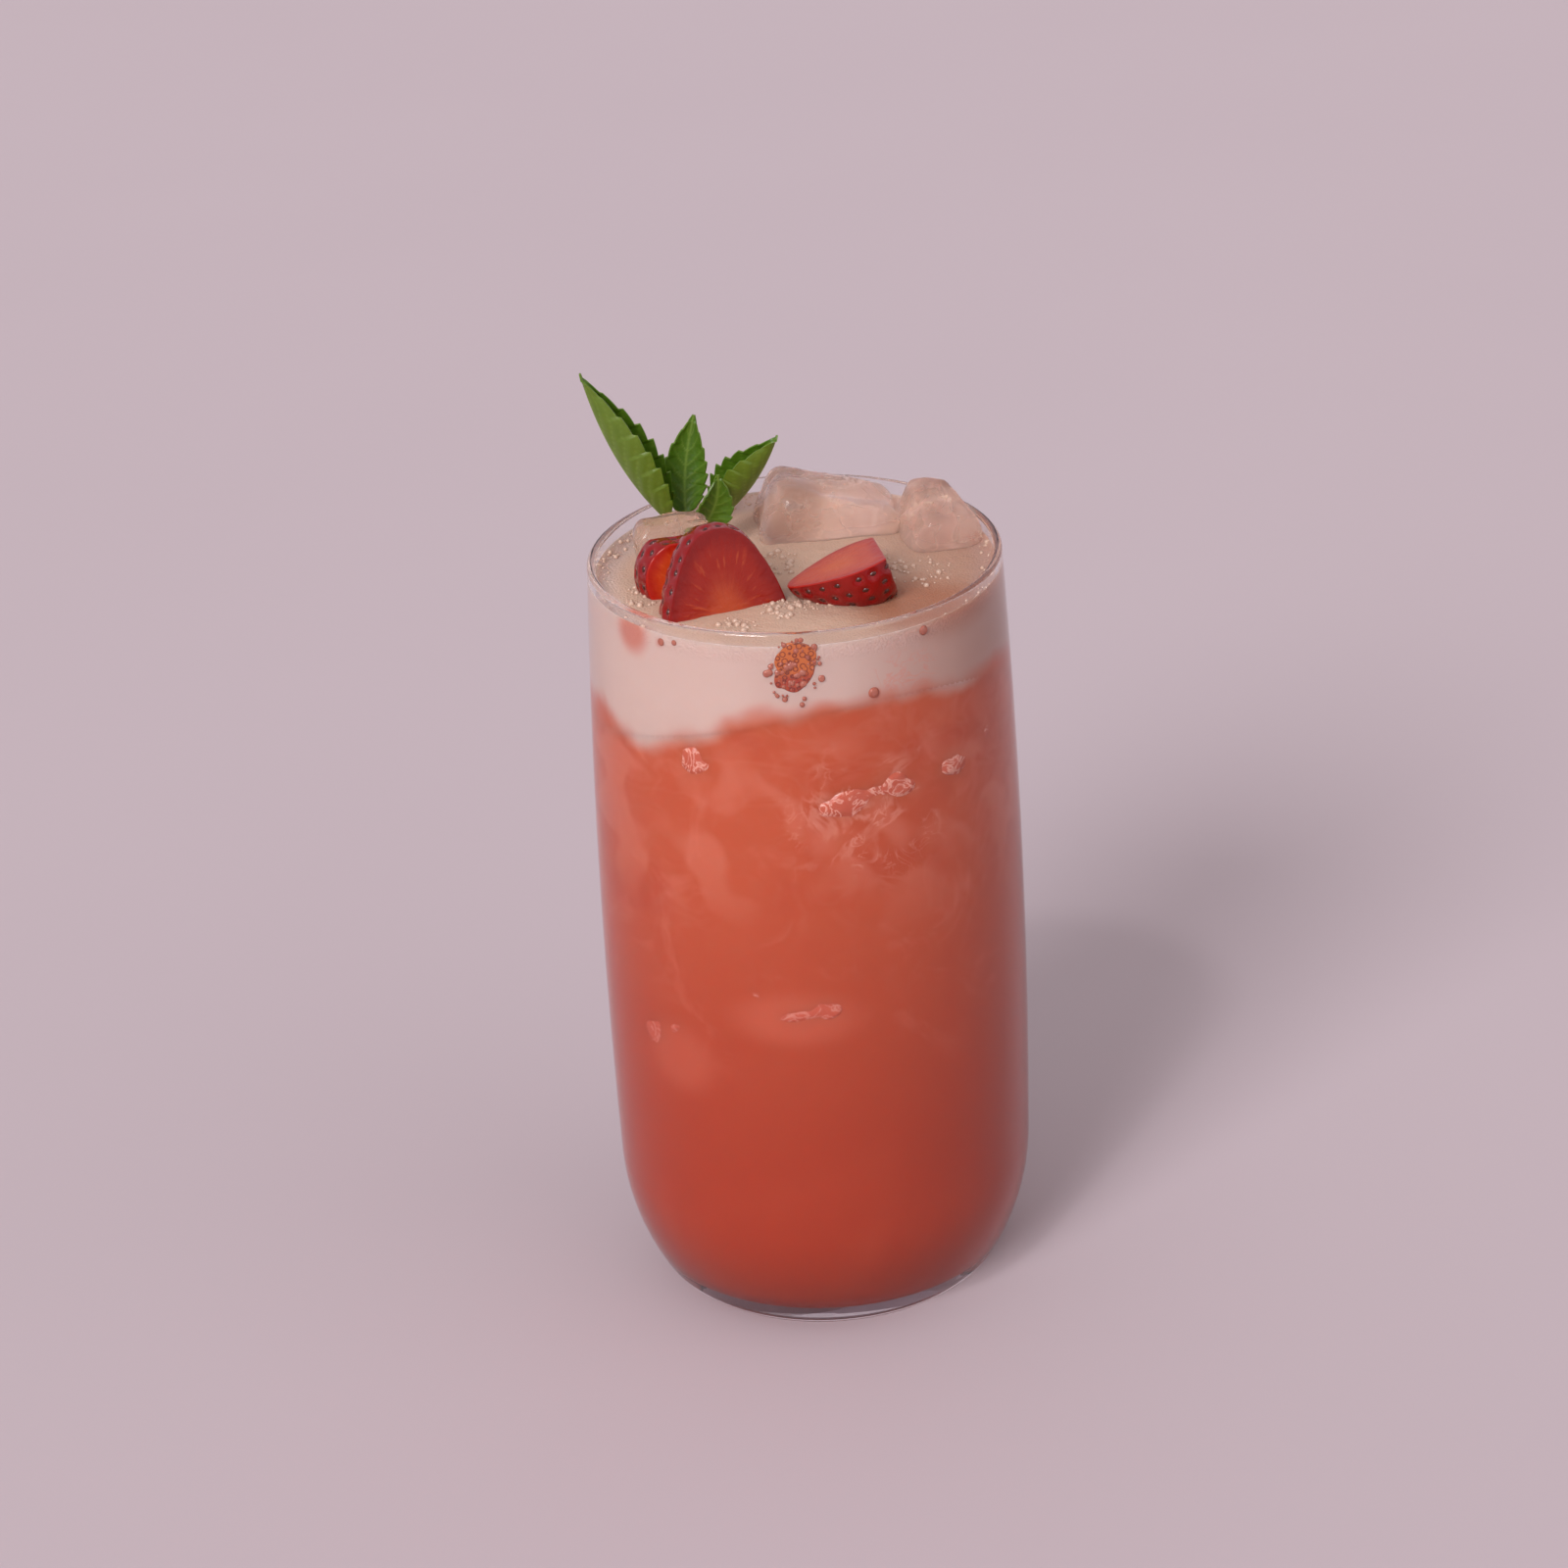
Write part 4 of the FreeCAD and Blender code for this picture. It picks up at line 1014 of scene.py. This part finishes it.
# %% Grow the leaves
def leaf_piece(name, leaf):
    """A thin closed leaf: the sheet twice, joined round its edge."""
    sheet, veins = leaf_sheet(**leaf)
    normals = np.cross(np.gradient(sheet, axis=0), np.gradient(sheet, axis=1))
    normals /= np.maximum(np.linalg.norm(normals, axis=2, keepdims=True), 1e-9)
    towards = np.sign(np.sum(normals * np.array(leaf["fold"], float)))
    lift = normals * towards * LEAF_THICKNESS / 2
    count, columns = sheet.shape[:2]
    points = np.concatenate([side.reshape(-1, 3) for side in (sheet + lift, sheet - lift)]) + MINT_ROOT
    half = count * columns
    faces = []
    for row in range(count - 1):
        for column in range(columns - 1):
            square = [row * columns + column, row * columns + column + 1,
                      (row + 1) * columns + column + 1, (row + 1) * columns + column]
            faces += [square, [half + corner for corner in square[::-1]]]
    grid = np.arange(half).reshape(count, columns)
    border = [*grid[0, :-1], *grid[:-1, -1], *grid[-1, :0:-1], *grid[:0:-1, 0]]
    for first, second in zip(border, border[1:] + border[:1]):
        faces.append([second, first, half + first, half + second])
    if towards > 0:
        faces = [face[::-1] for face in faces]
    upper = [1.0] * half + [0.0] * half
    return make_piece(name, points, faces, [mint_finish],
                      facts={"vein": [*veins.ravel(), *veins.ravel()], "upper": upper})


leaves = [leaf_piece(name, leaf) for name, leaf in LEAVES.items()]
stem_rows = []
for share in np.linspace(0, 1, 14):
    centre = MINT_ROOT + np.array((0.3 * math.sin(2.5 * share), 0.2 * share, -11.0 + 12.2 * share))
    size = 1.05 - 0.15 * share + 0.18 * math.exp(-((share - 0.86) / 0.06) ** 2)
    stem_rows.append([centre + polar(size * (1 + 0.06 * math.cos(4 * turn)), math.degrees(turn), 0)
                      for turn in turns_round(20)])
first, last = (np.mean(stem_rows[end], axis=0) for end in (0, -1))
points, faces = skin(stem_rows, first, last + (0, 0, 0.3))
stem = make_piece("mint_stem", points, faces, [mint_finish],
                  facts={"vein": np.zeros(len(points)), "upper": np.full(len(points), 0.4)})
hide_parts("mint_sprig")
print("leaves:", len(leaves), "faces each:", len(leaves[0].data.polygons))

# %% [markdown]
# ## Bubbles and the sunk crumb of fruit
# Froth is never even. Larger bubbles gather where something breaks the surface, in the corner by
# the fruit and along the wall. A crumb of strawberry hangs in the foam at the front of the wall in a
# ring of bubbles. The bubbles are small domes of many sizes, in one mesh.

# %% Blow the bubbles
BALL_RINGS, BALL_COLUMNS = 6, 10


def ball(middle, size):
    """Points and faces of one round bubble."""
    circle = full_circle(BALL_COLUMNS)
    rows = [middle + size * ring(circle, math.sin(tilt), -math.cos(tilt))
            for tilt in np.linspace(0, math.pi, BALL_RINGS + 2)[1:-1]]
    return skin(rows, middle - np.array((0, 0, size)), middle + np.array((0, 0, size)))


bubble_finish, place = new_finish("bubbles")
colour = blend(cloud(place, 1.2), ink(196, 160, 140), ink(212, 182, 164))
close_finish(bubble_finish, surface(place, colour, 0.25, Coat_Weight=0.6, Coat_Roughness=0.05))

generator = np.random.default_rng(11)
NESTS = [((-2.5, -15.5), 4.2, 70), ((3.5, -12.5), 3.4, 60), ((-10.5, -21.0), 3.5, 40),
         ((12.0, 2.5), 7.0, 70), ((-4.0, 4.0), 6.0, 60), ((22.0, -2.0), 6.5, 50),
         ((-25.5, -6.0), 4.5, 50)]
WALL_BUBBLES = 420
balls = []
for (x, y), spread, count in NESTS:
    for _ in range(count):
        turn, out = generator.uniform(0, 2 * math.pi), spread * math.sqrt(generator.uniform())
        size = 0.16 + 0.5 * generator.uniform() ** 3
        balls.append(((x + out * math.cos(turn), y + out * math.sin(turn)), size))
for turn in generator.uniform(0, 2 * math.pi, WALL_BUBBLES):
    size = 0.12 + 0.35 * generator.uniform() ** 3
    out = mouth - size - 2.2 * generator.uniform() ** 2
    balls.append(((out * math.cos(turn), out * math.sin(turn)), size))
places = np.array([middle for middle, size in balls])
tops = foam_top(places[:, 0], places[:, 1])
points, faces = gather([ball(np.array((x, y, top + 0.1 * size)), size)
                        for ((x, y), size), top in zip(balls, tops)])
make_piece("froth_bubbles", points, faces, [bubble_finish])
print("bubbles:", len(balls), "faces:", len(faces))

# %% Hang the crumb of fruit
CRUMB_AZIMUTH, CRUMB_HEIGHT, CRUMB_SIZE = -93.2, 133.4, (6.6, 3.2, 9.0)
points, faces = melted_block(
    CRUMB_SIZE, turned(((CRUMB_AZIMUTH + 90, "Z"), (14, "Y"))), (0, 0, CRUMB_HEIGHT),
    power=2.6, wave=1.6, seed=31, cells=20)
outward = polar(1, CRUMB_AZIMUTH, 0)
points += outward * (float(inside_radius(CRUMB_HEIGHT)) + 1.9 - np.max(points @ outward))
points = keep_in_glass(points, 0.5, top=139)

crumb_finish, place = new_finish("fruit_crumb")
height = reading(place, "Z") + 2 * (cloud(place, 3) - 0.5)
colour = blend(step(height, 131.5, 133.5), ink(150, 16, 22), ink(190, 92, 36))
colour = blend(0.5 * cloud(place, 1.1, 3), colour, ink(196, 116, 56))
cells = place.node("TexVoronoi", {"feature": "F1"}, {"Vector": place, "Scale": 0.95}, "Distance")
colour = blend(0.85 * step(cells, 0.28, 0.42) * step(cells, 0.58, 0.46), colour, ink(104, 30, 20))
close_finish(crumb_finish, surface(place, colour, 0.25))
make_piece("fruit_crumb", points, faces, [crumb_finish])
print("crumb faces:", len(faces))

# %% Press bubbles on the wall
hollow_finish, place = new_finish("bubble_hollows")
colour = blend(cloud(place, 1.5), ink(150, 70, 52), ink(186, 110, 88))
close_finish(hollow_finish, surface(place, colour, 0.12, Coat_Weight=0.5))
CRUMB_BUBBLES, LONE_BUBBLES = 64, [
    (-54, 136.2, 0.9), (-70.4, 127.6, 1.0), (-130.5, 135.9, 0.7), (-126, 136.4, 0.5)]
places = []
for _ in range(CRUMB_BUBBLES):
    turn, out = generator.uniform(0, 2 * math.pi), 6.2 * math.sqrt(generator.uniform())
    across, up = 1.2 + out * math.cos(turn) * 0.8, out * math.sin(turn) - 0.4
    azimuth = CRUMB_AZIMUTH + math.degrees(across / 35.5)
    places.append((azimuth, CRUMB_HEIGHT + up, 0.2 + 0.5 * generator.uniform() ** 2))
points, faces = gather([
    ball(polar(float(inside_radius(level_up)) + 0.6 - 0.5 * size, azimuth, level_up), size)
    for azimuth, level_up, size in places + LONE_BUBBLES])
make_piece("wall_bubbles", keep_in_glass(np.array(points), 0.7), faces, [hollow_finish])
print("wall bubbles:", len(places) + len(LONE_BUBBLES))
